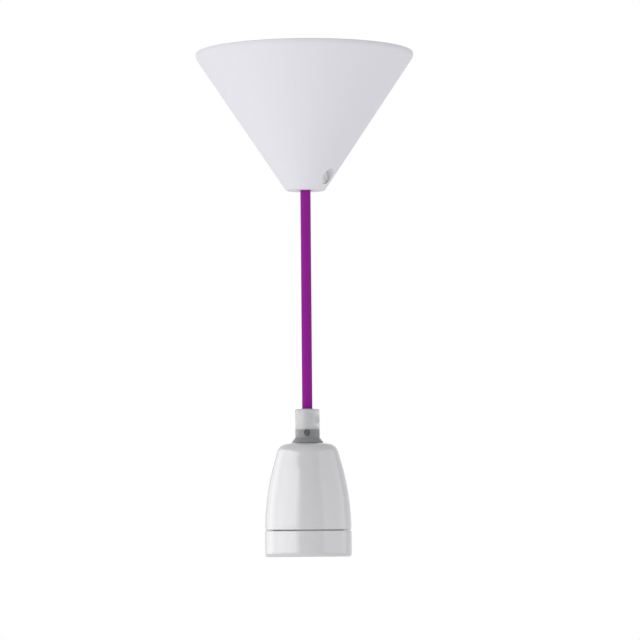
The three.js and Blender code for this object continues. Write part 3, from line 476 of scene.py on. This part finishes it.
def make_porcelain():
    """Glaze with a soft waviness. The foot of the ring, which stands in the kiln, is unglazed."""
    tree, coordinates = new_material("porcelain")
    place = coordinates["Object"]
    height = node(tree, "SeparateXYZ", {0: place}).outputs[2]
    glazed = node(tree, "MapRange", {
        0: height, 1: cad_low.z + 0.2 * MM, 2: cad_low.z + 0.5 * MM, 3: 0.0, 4: 1.0}).outputs[0]
    body = shared(tree, "Mottle", {
        "Place": place, "Color": (0.64, 0.634, 0.645, 1), "Amount": 0.04, "Scale": 60.0})
    bare = shared(tree, "Mottle", {
        "Place": place, "Color": (0.60, 0.57, 0.52, 1), "Amount": 0.3, "Scale": 900.0})
    color = node(tree, "Mix", {0: glazed, 6: bare["Color"], 7: body["Color"]}, data_type="RGBA")
    worn = shared(tree, "Wear", {"Place": place, "Roughness": 0.15, "Swing": 0.06, "Scale": 90.0})
    rough = node(tree, "Mix", {0: glazed, 2: 0.75, 3: worn["Roughness"]})
    wavy = shared(tree, "Grain", {"Place": place, "Scale": 70.0, "Depth": 0.04 * MM})
    shader = node(tree, "BsdfPrincipled", {
        "Base Color": color.outputs[2], "Roughness": rough.outputs[0], "Normal": wavy["Normal"],
        "IOR": 1.54})
    finish_material(tree, shader)


def make_textile(total):
    """Braided yarn with a sheen, its colour darkened as painted shade in the grooves of the weave,
    with one family of strands painted lighter. Near both jacket ends the pale sheath below it is
    bare.
    """
    tree, coordinates = new_material("purple_textile")
    surface = coordinates["UV"]
    run = node(tree, "SeparateXYZ", {0: surface}).outputs[1]
    braid = shared(tree, "Braid", {
        "Surface": surface, "Strands": float(BRAID_STRANDS), "Turns a Metre": BRAID_TURNS})
    covered = math_node(
        tree, "MULTIPLY", math_node(tree, "GREATER_THAN", run, BARE_TAIL - SLEEVE_EDGE / 2),
        math_node(tree, "LESS_THAN", run, total - BARE_END + SLEEVE_EDGE / 2))
    yarn = shared(tree, "Mottle", {
        "Place": coordinates["Object"], "Color": (*TEXTILE_COLOR, 1), "Amount": 0.5,
        "Scale": 1600.0})
    # Painted shade: the yarn's colour is darkened in the grooves between strands and between yarns,
    # and one family of strands is painted lighter than the other
    depth = math_node(tree, "MULTIPLY_ADD", braid["Ridge"], 0.45, 0.62)
    thread = math_node(tree, "MULTIPLY_ADD", braid["Yarn"], 0.25, 0.85)
    family_painted_light = math_node(tree, "MULTIPLY_ADD", braid["Over"], 0.1, 0.95)
    shade = math_node(tree, "MULTIPLY", math_node(tree, "MULTIPLY", depth, thread), family_painted_light)
    woven = node(tree, "VectorMath", {0: yarn["Color"], "Scale": shade}, operation="SCALE")
    sheath = shared(tree, "Mottle", {
        "Place": coordinates["Object"], "Color": (0.56, 0.56, 0.56, 1), "Amount": 0.1,
        "Scale": 200.0})
    color = node(tree, "Mix", {0: covered, 6: sheath["Color"], 7: woven.outputs[0]},
                 data_type="RGBA")
    rough = node(tree, "Mix", {0: covered, 2: 0.5, 3: 0.85})
    height = math_node(tree, "MULTIPLY_ADD", braid["Yarn"], 0.3, braid["Ridge"])
    height = math_node(tree, "MULTIPLY", height, covered)
    raised = node(tree, "Bump", {"Strength": 0.9, "Distance": 0.12 * MM, "Height": height})
    shader = node(tree, "BsdfPrincipled", {
        "Base Color": color.outputs[2], "Roughness": rough.outputs[0],
        "Normal": raised.outputs[0], "Sheen Weight": 0.07, "Sheen Roughness": 0.4,
        "Specular IOR Level": 0.2})
    finish_material(tree, shader)


def make_steel():
    """Zinc plated steel. Where its attribute marks it, it is darker and duller: on the threaded
    tube, and on the lock screw as painted shade of its hole.
    """
    tree, coordinates = new_material("zinc_steel")
    place = coordinates["Object"]
    thread = node(tree, "Attribute", attribute_name="dark_thread_and_painted_shade").outputs["Fac"]
    # Painted shade: where the mark is set the colour is far darker; on the lock screw this stands
    # for the shade of its hole
    color = node(tree, "Mix", {
        0: thread, 6: (0.47, 0.475, 0.485, 1), 7: (0.16, 0.165, 0.17, 1)}, data_type="RGBA")
    tinted = shared(tree, "Mottle", {
        "Place": place, "Color": color.outputs[2], "Amount": 0.25, "Scale": 450.0})
    worn = shared(tree, "Wear", {
        "Place": place, "Roughness": math_node(tree, "MULTIPLY_ADD", thread, 0.2, 0.36),
        "Swing": 0.3, "Scale": 300.0})
    grain = shared(tree, "Grain", {"Place": place, "Scale": 1500.0, "Depth": 0.008 * MM})
    shader = node(tree, "BsdfPrincipled", {
        "Base Color": tinted["Color"], "Roughness": worn["Roughness"], "Normal": grain["Normal"],
        "Metallic": 1.0})
    finish_material(tree, shader)


def make_clear():
    """Milky clear plastic: part of the light passes with a soft blur, part is scattered at the
    surface. Round the threaded tube both parts are painted darker, as shade for the metal seen
    through it."""
    tree, coordinates = new_material("clear_plastic")
    place = coordinates["Object"]
    height = node(tree, "SeparateXYZ", {0: place}).outputs[2]
    tube_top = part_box("nipple")[1].z
    above = node(tree, "MapRange", {
        0: height, 1: tube_top - 0.4 * MM, 2: tube_top + 0.4 * MM, 3: 0.0, 4: 1.0}).outputs[0]
    worn = shared(tree, "Wear", {"Place": place, "Roughness": 0.2, "Swing": 0.1, "Scale": 120.0})
    wavy = shared(tree, "Grain", {"Place": place, "Scale": 90.0, "Depth": 0.03 * MM})
    # Painted shade: below the tube's top the milky and the passing colours are darker, standing in
    # for the metal seen through the plastic
    milk_and_painted_shade = node(tree, "Mix", {
        0: above, 6: (0.36, 0.37, 0.375, 1), 7: (0.69, 0.695, 0.695, 1)}, data_type="RGBA")
    mottled_milk_and_shade = shared(tree, "Mottle", {
        "Place": place, "Color": milk_and_painted_shade.outputs[2], "Amount": 0.25, "Scale": 90.0})
    passed_and_painted_shade = node(tree, "Mix", {
        0: above, 6: (0.62, 0.64, 0.65, 1), 7: (0.9, 0.91, 0.91, 1)}, data_type="RGBA")
    clear = node(tree, "BsdfPrincipled", {
        "Base Color": passed_and_painted_shade.outputs[2], "Roughness": worn["Roughness"],
        "Normal": wavy["Normal"], "IOR": 1.38, "Transmission Weight": 1.0})
    cloudy = node(tree, "BsdfPrincipled", {
        "Base Color": mottled_milk_and_shade["Color"], "Roughness": worn["Roughness"], "Normal": wavy["Normal"],
        "IOR": 1.46, "Specular IOR Level": 0.1})
    mix = node(tree, "MixShader", {0: 0.65, 1: clear.outputs[0], 2: cloudy.outputs[0]})
    finish_material(tree, mix)


def make_materials(total):
    """All groups and finishes. total is the cord's length, at whose ends the sheath is bare."""
    mottle_group()
    grain_group()
    braid_group()
    wear_group()
    make_porcelain()
    make_textile(total)
    make_clear()
    make_steel()
    for name, finish in PLAIN_FINISHES.items():
        make_plain(name, *finish)


# Curves and profiles as arrays

def smooth_through(points, per_span):
    """Points on the curve that passes through the given points. Between two of them it is
    blended in three rounds from the lines that join the four nearest points, over knots spaced
    by the square root of the distance."""
    p = np.asarray(points, float)
    p = np.vstack([2 * p[0] - p[1], p, 2 * p[-1] - p[-2]])
    knots = np.concatenate([[0], np.cumsum(np.sqrt(np.linalg.norm(np.diff(p, axis=0), axis=1)))])
    spans = np.arange(1, len(p) - 2)
    share = np.linspace(0, 1, per_span, endpoint=False)
    knot = [knots[spans + i][:, None, None] for i in (-1, 0, 1, 2)]
    point = [p[spans + i][:, None, :] for i in (-1, 0, 1, 2)]
    at = knot[1] + (knot[2] - knot[1]) * share[None, :, None]

    def blend(start, end, i, j):
        span = knot[j] - knot[i]
        return (knot[j] - at) / span * start + (at - knot[i]) / span * end

    lines = [blend(point[i], point[i + 1], i, i + 1) for i in range(3)]
    bows = [blend(lines[i], lines[i + 1], i, i + 2) for i in range(2)]
    curve = blend(bows[0], bows[1], 1, 2).reshape(-1, p.shape[1])
    return np.vstack([curve, p[-2]])


def even(points, step):
    """The same line with points at an even distance of about step along it."""
    p = np.asarray(points, float)
    run = np.concatenate([[0], np.cumsum(np.linalg.norm(np.diff(p, axis=0), axis=1))])
    at = np.linspace(0, run[-1], max(int(round(run[-1] / step)), 1) + 1)
    return np.stack([np.interp(at, run, p[:, i]) for i in range(p.shape[1])], axis=1)


def relaxed(points):
    """The line with its tight spots eased: each point moves to the mean of its neighbours along
    the line, weighted by a bell curve of COIL_EASE, and both ends stay."""
    step = 0.5 * MM
    p = even(points, step)
    reach = int(round(3 * COIL_EASE / step))
    weight = np.exp(-0.5 * (np.arange(-reach, reach + 1) * step / COIL_EASE) ** 2)
    p = np.vstack([2 * p[0] - p[reach:0:-1], p, 2 * p[-1] - p[-2:-reach - 2:-1]])
    return np.stack([np.convolve(x, weight / weight.sum(), "valid") for x in p.T], axis=1)


def length_of(points):
    """The length of the line through the points."""
    return float(np.linalg.norm(np.diff(np.asarray(points), axis=0), axis=1).sum())


def ramp(x, low, high):
    """0 below low, 1 above high, and a smooth rise between."""
    t = np.clip((x - low) / (high - low), 0, 1)
    return t * t * (3 - 2 * t)


def rounded(corners, steps=6):
    """A closed outline of (radius, height, fillet) corners in millimetres, each turned into a
    curve that touches both of its sides a fillet's reach from the corner."""
    c = np.array(corners, float)[:, :2]
    fillet = np.array(corners, float)[:, 2]
    before = np.roll(c, 1, axis=0) - c
    after = np.roll(c, -1, axis=0) - c
    before /= np.linalg.norm(before, axis=1)[:, None]
    after /= np.linalg.norm(after, axis=1)[:, None]
    half = np.arccos(np.clip((before * after).sum(1), -1, 1)) / 2
    reach = (fillet / np.tan(half))[:, None, None]
    t = np.linspace(0, 1, steps)[None, :, None]
    corner, before, after = c[:, None], before[:, None], after[:, None]
    bow = corner + reach * ((1 - t) ** 2 * before + t ** 2 * after)
    keep = np.ones(bow.shape[:2], bool)
    keep[fillet == 0, 1:] = False
    return bow[keep]


def closely(outline, step):
    """The closed outline with points added, so that none stand further apart than step."""
    line = np.vstack([outline, outline[:1]])
    gaps = np.linalg.norm(np.diff(line, axis=0), axis=1)
    counts = np.maximum(np.ceil(gaps / step).astype(int), 1)
    place = np.repeat(np.arange(len(counts)), counts)
    within = np.concatenate([np.arange(n) / n for n in counts])[:, None]
    return line[place] * (1 - within) + line[place + 1] * within


# Meshes from arrays

def dressed(piece, slot):
    """The piece in the slot's material, riding with the set."""
    piece.data.materials.clear()
    piece.data.materials.append(MATERIALS[slot])
    if slot in SHINING:
        bpy.data.collections["shining"].objects.link(piece)
    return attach(piece, "root")


def make_piece(name, points, faces, slot, uv=None):
    """A mesh of the points and four-cornered faces in the slot's material. uv is per point."""
    mesh = bpy.data.meshes.new(name)
    mesh.from_pydata(np.asarray(points).reshape(-1, 3).tolist(), [], np.asarray(faces).tolist())
    if uv is not None:
        corner = np.empty(len(mesh.loops), np.int32)
        mesh.loops.foreach_get("vertex_index", corner)
        layer = mesh.uv_layers.new(name="surface")
        layer.data.foreach_set("uv", np.asarray(uv, np.float32)[corner].ravel())
    piece = bpy.data.objects.new(name, mesh)
    bpy.context.scene.collection.objects.link(piece)
    return dressed(piece, slot)


def grid_faces(rows, columns, close_rows, close_columns):
    """Corner numbers of the faces between neighbours on a grid, with either way round closed."""
    r = np.arange(rows if close_rows else rows - 1)
    c = np.arange(columns if close_columns else columns - 1)
    r, c = [x.ravel() for x in np.meshgrid(r, c, indexing="ij")]
    r1 = (r + 1) % rows
    c1 = (c + 1) % columns
    return np.stack([r * columns + c, r * columns + c1, r1 * columns + c1, r1 * columns + c], 1)


def tidy(piece, weld=1e-7, smooth=35.0):
    """Merges doubled points, closes open ends with flat faces, turns faces outwards, and shades
    smooth but for sharp edges."""
    b = bmesh.new()
    b.from_mesh(piece.data)
    bmesh.ops.remove_doubles(b, verts=b.verts, dist=weld)
    bmesh.ops.dissolve_degenerate(b, edges=b.edges, dist=weld)
    bmesh.ops.holes_fill(b, edges=[e for e in b.edges if e.is_boundary], sides=0)
    bmesh.ops.recalc_face_normals(b, faces=b.faces)
    b.to_mesh(piece.data)
    b.free()
    piece.data.shade_smooth()
    piece.data.set_sharp_from_angle(angle=math.radians(smooth))
    return piece


def turned(name, outline, steps, slot, swell=lambda angle, radius, height: 0, smooth=35):
    """A ring or cup whose outline of (radius, height) points in millimetres is carried round the
    Z axis: each point (r, z) goes to (r cos a, r sin a, z) at every angle a, where swell(a, r, z)
    has been added to r."""
    line = np.asarray(outline, float)
    angle = np.linspace(0, 2 * math.pi, steps, endpoint=False)[:, None]
    height = np.broadcast_to(line[:, 1], (steps, len(line)))
    radius = line[:, 0] + swell(angle, line[None, :, 0], height)
    points = np.stack([radius * np.cos(angle), radius * np.sin(angle), height], axis=2) * MM
    return tidy(make_piece(name, points, grid_faces(steps, len(line), True, True), slot),
                smooth=smooth)


def threaded(piece):
    """The piece, marked to be drawn darker and duller in the steel."""
    mark = piece.data.attributes.new("dark_thread_and_painted_shade", "FLOAT", "POINT")
    mark.data.foreach_set("value", np.ones(len(piece.data.vertices), np.float32))
    return piece


def drilled(piece, *bores):
    """The piece with round holes through it, each given by its two ends and its radius."""
    for start, end, radius in bores:
        run = Vector(end) - Vector(start)
        b = bmesh.new()
        turn = run.to_track_quat("Z", "Y").to_matrix().to_4x4()
        place = Matrix.Translation((Vector(start) + Vector(end)) / 2) @ turn
        bmesh.ops.create_cone(b, cap_ends=True, segments=64, radius1=radius, radius2=radius,
                              depth=run.length, matrix=place)
        mesh = bpy.data.meshes.new("bore")
        b.to_mesh(mesh)
        b.free()
        cutter = bpy.data.objects.new("bore", mesh)
        bpy.context.scene.collection.objects.link(cutter)
        cut = piece.modifiers.new("bore", "BOOLEAN")
        cut.object = cutter
        cut.solver = "EXACT"
        settled = piece.evaluated_get(bpy.context.evaluated_depsgraph_get())
        made = bpy.data.meshes.new_from_object(settled)
        piece.modifiers.clear()
        piece.data = made
        bpy.data.objects.remove(cutter)
    return tidy(piece, weld=1e-6)


def softened(name, edge, slot):
    """A copy of the solid with its doubled points merged, its flat faces whole again, and each
    sharp edge broken by a small round."""
    piece = bpy.data.objects.new(f"{name}_finished", bpy.data.objects[name].data.copy())
    bpy.context.scene.collection.objects.link(piece)
    b = bmesh.new()
    b.from_mesh(piece.data)
    bmesh.ops.remove_doubles(b, verts=b.verts, dist=1e-6)
    bmesh.ops.dissolve_limit(b, angle_limit=math.radians(1), verts=b.verts, edges=b.edges)
    b.to_mesh(piece.data)
    b.free()
    bevel = piece.modifiers.new("broken_edge", "BEVEL")
    bevel.width = edge * MM
    bevel.segments = 3
    bevel.limit_method = "ANGLE"
    bevel.angle_limit = math.radians(40)
    piece.data.shade_smooth()
    piece.data.set_sharp_from_angle(angle=math.radians(38))
    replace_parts(dressed(piece, slot), name)
    return piece


# Cord

def coil_line(low_turn, high_turn, outer_turn):
    """The coil's turns: the angle rises evenly, the radius steps out once, and the height steps
    down through the inner turns and up again through the outer ones."""
    turns = np.linspace(0, COIL_END, int(COIL_END * COIL_SAMPLES))
    pitch = (high_turn - low_turn) / len(COIL_STEPS_DOWN)
    height = np.full_like(turns, high_turn)
    for span in COIL_STEPS_DOWN:
        height -= pitch * ramp(turns, *span)
    for span in COIL_STEPS_UP:
        height += pitch * ramp(turns, *span)
    radius = COIL_INNER_TURN + (outer_turn - COIL_INNER_TURN) * ramp(turns, *COIL_STEP_OUT)
    angle = np.radians(COIL_START_ANGLE) + 2 * math.pi * turns
    return np.stack([radius * np.cos(angle), radius * np.sin(angle), height], axis=1)


def cord_line():
    """The whole cord, from the jacket end at the terminal block to the one inside the holder: a
    smooth curve through the points of its route, with those of the coil between them."""
    low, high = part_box("cord_coil")
    coil = coil_line(low.z + CORD_RADIUS, high.z - CORD_RADIUS, high.x - CORD_RADIUS)
    start = np.array(CORD_DROP_ROUTE + COIL_ENTRY_ROUTE) * MM
    end = np.array(COIL_EXIT_ROUTE + CORD_TAIL_ROUTE) * MM
    keys = coil[COIL_FIRST_KEY::COIL_KEY_STEP]
    return relaxed(smooth_through(np.vstack([start, keys, end]), 12)[::-1])


def carried(name, line, around, section, slot):
    """A tube: at each point of the line stands a ring of points, square to it. The rings' first
    directions are turned along the line by the smallest turn from one to the next. section gives
    the radius from the distance along the line and the angle round it. The flat ends are
    closed, and the surface coordinates are turns round the line and metres along it."""
    run = np.concatenate([[0], np.cumsum(np.linalg.norm(np.diff(line, axis=0), axis=1))])
    tangent = np.gradient(line, run, axis=0)
    tangent /= np.linalg.norm(tangent, axis=1)[:, None]
    side = np.zeros_like(line)
    side[0] = np.cross(tangent[0], (0.1, 0.2, 1))
    side[0] /= np.linalg.norm(side[0])
    for i in range(1, len(line)):
        side[i] = side[i - 1] - tangent[i] * np.dot(side[i - 1], tangent[i])
        side[i] /= np.linalg.norm(side[i])
    up = np.cross(tangent, side)
    angle = np.linspace(0, 2 * math.pi, around + 1)[None, :]
    radius = section(run[:, None], angle)[:, :, None]
    rings = line[:, None] + radius * (
        np.cos(angle)[:, :, None] * side[:, None] + np.sin(angle)[:, :, None] * up[:, None])
    uv = np.stack(np.broadcast_arrays(angle / (2 * math.pi), run[:, None]), axis=2)
    rows, columns = rings.shape[:2]
    faces = grid_faces(rows, columns, False, False)
    return tidy(make_piece(name, rings, faces, slot, uv.reshape(-1, 2)), smooth=50)


def make_cord():
    """A braided tube along the cord's line. The braid stands out by a tenth of a millimetre where
    the cord hangs in view, and ends short of both jacket ends, where the sheath is bare."""
    line = cord_line()
    total = length_of(line)
    make_materials(total)
    first = int(np.argmax(line[:, 2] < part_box("canopy")[0].z + 4 * MM))
    line = np.vstack([even(line[:first + 1], HIDDEN_STEP), even(line[first:], SEEN_STEP)[1:]])

    def section(run, angle):
        lean = run * BRAID_TURNS
        right = BRAID_STRANDS * (angle / (2 * math.pi) + lean)
        left = BRAID_STRANDS * (angle / (2 * math.pi) - lean)
        over = (np.floor(right) + np.floor(left)) % 2 > 0.5
        ridge = np.abs(np.sin(math.pi * np.where(over, right, left)))
        in_view = ramp(run, total - BRAID_IN_VIEW - 10 * MM, total - BRAID_IN_VIEW)
        braided = ramp(run, BARE_TAIL - SLEEVE_EDGE, BARE_TAIL)
        braided = braided * ramp(run, total - BARE_END + SLEEVE_EDGE, total - BARE_END)
        relief = BRAID_RELIEF * (ridge - 0.5) * in_view
        return CORD_RADIUS + relief * braided - SLEEVE_THICKNESS * (1 - braided)

    cord = carried("cord", line, 64, section, "purple_textile")
    ties = [softened(name, 0.25, "white_nylon") for name in ("coil_tie_1", "coil_tie_2")]
    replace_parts(cord, "cord_drop", "cord_coil", "cord_tail")


def make_core(name, route, slot):
    """An insulated core: a round tube through the points of its route, in millimetres."""
    line = even(smooth_through(np.array(route) * MM, 20), 0.25 * MM)
    core = carried(name, line, 32, lambda run, angle: CORE_RADIUS + 0 * run * angle, slot)
    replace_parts(core, name)


def make_cores():
    """Two cores from the jacket end on the tail to the poles, and two from the other end to the
    terminals, each pair side by side."""
    post_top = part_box("terminal_left")[1].z / MM
    low_end = CORD_DROP_ROUTE[0][2] - CORE_GAP
    fall = low_end - post_top
    tail_x, tail_y, tail_z = CORD_TAIL_ROUTE[-1]
    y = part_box("terminal_block")[0].y / MM - CORE_GAP
    for colour, side, pole in (("brown", -1, "pole_1"), ("blue", 1, "pole_2")):
        slot = f"{colour}_insulation"
        pole_low, pole_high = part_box(pole)
        x = (pole_low.x + pole_high.x) / 2 / MM
        z = (pole_low.z + pole_high.z) / 2 / MM
        start = tail_x + side * CORE_OFFSET
        make_core(f"supply_wire_{colour}", [
            (start, tail_y + CORE_GAP, tail_z),
            (start + (x - start) * 0.15, tail_y + 2.3, tail_z),
            (start + (x - start) * 0.85, y - 2.2, z), (x, y, z)], slot)
        post_low, post_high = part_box(f"holder_wire_{colour}")
        post = (post_high.x if side > 0 else -post_low.x) / MM - CORE_RADIUS / MM
        make_core(f"holder_wire_{colour}", [
            (side * CORE_OFFSET, 0, low_end),
            (side * CORE_OFFSET * 1.3, 0, low_end - fall * 0.2),
            (side * post * 0.5, 0, low_end - fall * 0.45),
            (side * post * 0.93, 0, low_end - fall * 0.72),
            (side * post, 0, post_top), (side * post, 0, post_top - 2.5)], slot)


# Turned pieces, outlines in millimetres as (radius, height, fillet)

def make_canopy():
    """The cone with its rounded rim and its neck, and the sunk seat of its screw."""
    low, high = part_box("canopy")
    radius, bottom = high.x / MM, low.z / MM
    neck_top = bottom + NECK_HEIGHT
    slope = (radius - NECK_RADIUS) / (-RIM_BAND - bottom)
    wall = CANOPY_WALL * math.hypot(1, slope)

    def inside(level):
        return NECK_RADIUS + (level - bottom) * slope - wall

    outline = rounded([
        (inside(-RIM_BAND), 0, 0.4), (radius, 0, 0.6), (radius, -RIM_BAND, RIM_ROUND),
        (NECK_RADIUS, bottom, 0.7), (CORD_HOLE + 1, bottom, 0.3), (CORD_HOLE, bottom + 1, 0.3),
        (CORD_HOLE, neck_top - 1, 0.3), (CORD_HOLE + 1, neck_top, 0.3),
        (inside(neck_top), neck_top, 1.5), (inside(-RIM_BAND), -RIM_BAND, 2),
    ])
    canopy = turned("canopy_finished", closely(outline, 2.5), 192, "canopy_plastic")
    angle = math.radians(SCREW_SEAT_ANGLE)
    axis = Vector((0, 0, bottom + SCREW_SEAT_LEVEL)) * MM
    out = Vector((math.cos(angle), math.sin(angle), 0)) * MM
    drilled(canopy, (axis + out * SCREW_SEAT_FLOOR, axis + out * 40, SCREW_SEAT_RADIUS * MM),
            (axis, axis + out * (SCREW_SEAT_FLOOR + 0.3), SCREW_HOLE_RADIUS * MM))
    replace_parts(canopy, "canopy")


def make_dome():
    """The glazed dome: a smooth curve through the radii measured on the photograph."""
    low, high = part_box("porcelain_dome")
    top, bottom = high.z / MM, low.z / MM
    curve = smooth_through([(r, top - depth) for depth, r in DOME_OUTLINE], 6)
    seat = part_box("contact_block")[1].z / MM + JOINT_GAP
    socket = SPIGOT_RADIUS + JOINT_GAP
    ceiling = top - DOME_WALL_TOP
    bore = rounded([
        (HOLDER_RADIUS, bottom, 0.8), (socket, bottom, 0.4), (socket, seat, 0.6),
        (17.1, top - 21, 2), (15.2, top - 10.6, 3), (12.4, ceiling, 1.2),
        (TUBE_HOLE, ceiling, 0.3), (TUBE_HOLE, top, 0.4), (DOME_OUTLINE[0][1] - 0.4, top, 0),
    ])
    dome = turned("dome_finished", closely(np.vstack([curve[:-1], bore]), 1.6), 160, "porcelain")
    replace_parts(dome, "porcelain_dome")


def make_ring():
    """The glazed ring that carries on the dome's outline, with its spigot and its lip."""
    low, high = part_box("porcelain_ring")
    bottom, top = low.z / MM, high.z / MM
    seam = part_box("porcelain_dome")[0].z / MM - JOINT_GAP
    lip = bottom + LIP_HEIGHT
    outline = rounded([
        (SPIGOT_RADIUS, top, 0.5), (SPIGOT_RADIUS, seam, 0.3), (HOLDER_RADIUS, seam, 0.8),
        (HOLDER_RADIUS, bottom, 1.9), (LIP_RADIUS + 0.8, bottom, 0.5),
        (LIP_RADIUS, bottom + 0.8, 0.4), (LIP_RADIUS, lip, 0.3), (SPIGOT_BORE, lip, 0.4),
        (SPIGOT_BORE, top, 0.4),
    ])
    ring = turned("ring_finished", closely(outline, 1.6), 160, "porcelain")
    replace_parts(ring, "porcelain_ring")


def make_grip():
    """The clear grip with its flared foot, bored for the cord, the threaded tube and two screws."""
    low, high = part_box("cord_grip")
    bottom, top = low.z / MM, high.z / MM
    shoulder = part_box("nipple")[1].z / MM + JOINT_GAP
    outline = rounded([
        (CORD_HOLE, top - 0.7, 0.2), (CORD_HOLE + 0.7, top, 0.3), (GRIP_RADIUS, top, 0.9),
        (GRIP_RADIUS, bottom + 3, 1.2), (GRIP_FOOT_RADIUS, bottom + 0.5, 0.3),
        (GRIP_FOOT_RADIUS, bottom, 0.15), (TUBE_HOLE, bottom, 0.2), (TUBE_HOLE, shoulder, 0.2),
        (CORD_HOLE, shoulder + 1.5, 0.3),
    ])
    grip = turned("grip_finished", closely(outline, 1), 128, "clear_plastic")
    bores = []
    for turn, level, radius in (
            (GRIP_SCREW_ANGLE, top - GRIP_SCREW_INSET, GRIP_SCREW_HOLE),
            (LOCK_SCREW_ANGLE, bottom + GRIP_SCREW_INSET, LOCK_SCREW_HOLE)):
        angle = math.radians(turn)
        axis = Vector((0, 0, level)) * MM
        out = Vector((math.cos(angle), math.sin(angle), 0)) * 12 * MM
        bores.append((axis, axis + out, radius * MM))
    drilled(grip, *bores)
    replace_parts(grip, "cord_grip")


def make_nipple():
    """The threaded tube: its outside waves in and out once a millimetre along a helix."""
    low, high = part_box("nipple")
    bottom, top = low.z / MM, high.z / MM

    def swell(angle, radius, height):
        wave = (1 - np.cos(2 * math.pi * height - angle)) / 2
        ends = ramp(height, bottom + 0.4, bottom + 1) * ramp(-height, 0.4 - top, 1 - top)
        return -TUBE_THREAD_DEPTH * wave * ends * (radius > TUBE_RADIUS - 0.1)

    outline = rounded([
        (TUBE_BORE, top, 0.2), (TUBE_RADIUS - 0.5, top, 0), (TUBE_RADIUS, top - 0.5, 0),
        (TUBE_RADIUS, bottom + 0.5, 0), (TUBE_RADIUS - 0.5, bottom, 0), (TUBE_BORE, bottom, 0.2),
    ])
    nipple = threaded(
        turned("nipple_finished", closely(outline, 0.12), 64, "zinc_steel", swell, 70))
    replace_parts(nipple, "nipple")


def make_thread():
    """The bulb thread: a thin wall whose radius waves in and out once a pitch along a right
    handed helix, and a flat flange for its rivets."""
    low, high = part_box("thread_shell")
    bottom, top = low.z / MM, high.z / MM

    def swell(angle, radius, height):
        wave = (1 - np.cos(2 * math.pi * (height - bottom) / THREAD_PITCH - angle)) / 2
        ends = ramp(height, bottom, bottom + 1.2) * ramp(-height, 1 - top, 2.4 - top)
        return THREAD_DEPTH * (wave - 0.5) * ends * (radius > SHELL_RADIUS - 1)

    inner = SHELL_RADIUS - SHELL_WALL
    outline = rounded([
        (inner, bottom, 0.1), (SHELL_RADIUS, bottom, 0.1), (SHELL_RADIUS, top, 0.5),
        (SHELL_HOLE, top, 0.1), (SHELL_HOLE, top - SHELL_WALL, 0.1),
        (inner, top - SHELL_WALL, 0.2),
    ])
    shell = turned("thread_finished", closely(outline, 0.25), 144, "brass", swell, 50)
    for turn in (RIVET_ANGLE, RIVET_ANGLE + 180):
        angle = math.radians(turn)
        place = Vector((RIVET_CIRCLE * math.cos(angle), RIVET_CIRCLE * math.sin(angle), top)) * MM
        through = Vector((0, 0, 3 * MM))
        drilled(shell, (place - through, place + through, RIVET_HOLE * MM))
    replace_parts(shell, "thread_shell")


# The whole scene

bpy.data.collections.new("shining")
make_camera()
make_world()
make_floor()
for name, panel in PANELS.items():
    make_panel(name, *panel)
make_cord()
make_cores()
make_canopy()
make_dome()
make_ring()
make_grip()
make_nipple()
make_thread()
for name, edge, slot in SMALL_PIECES:
    softened(name, edge, slot)
# The lock screw is drawn darker as painted shade of the hole it sits in
threaded(bpy.data.objects["lock_screw_finished"])
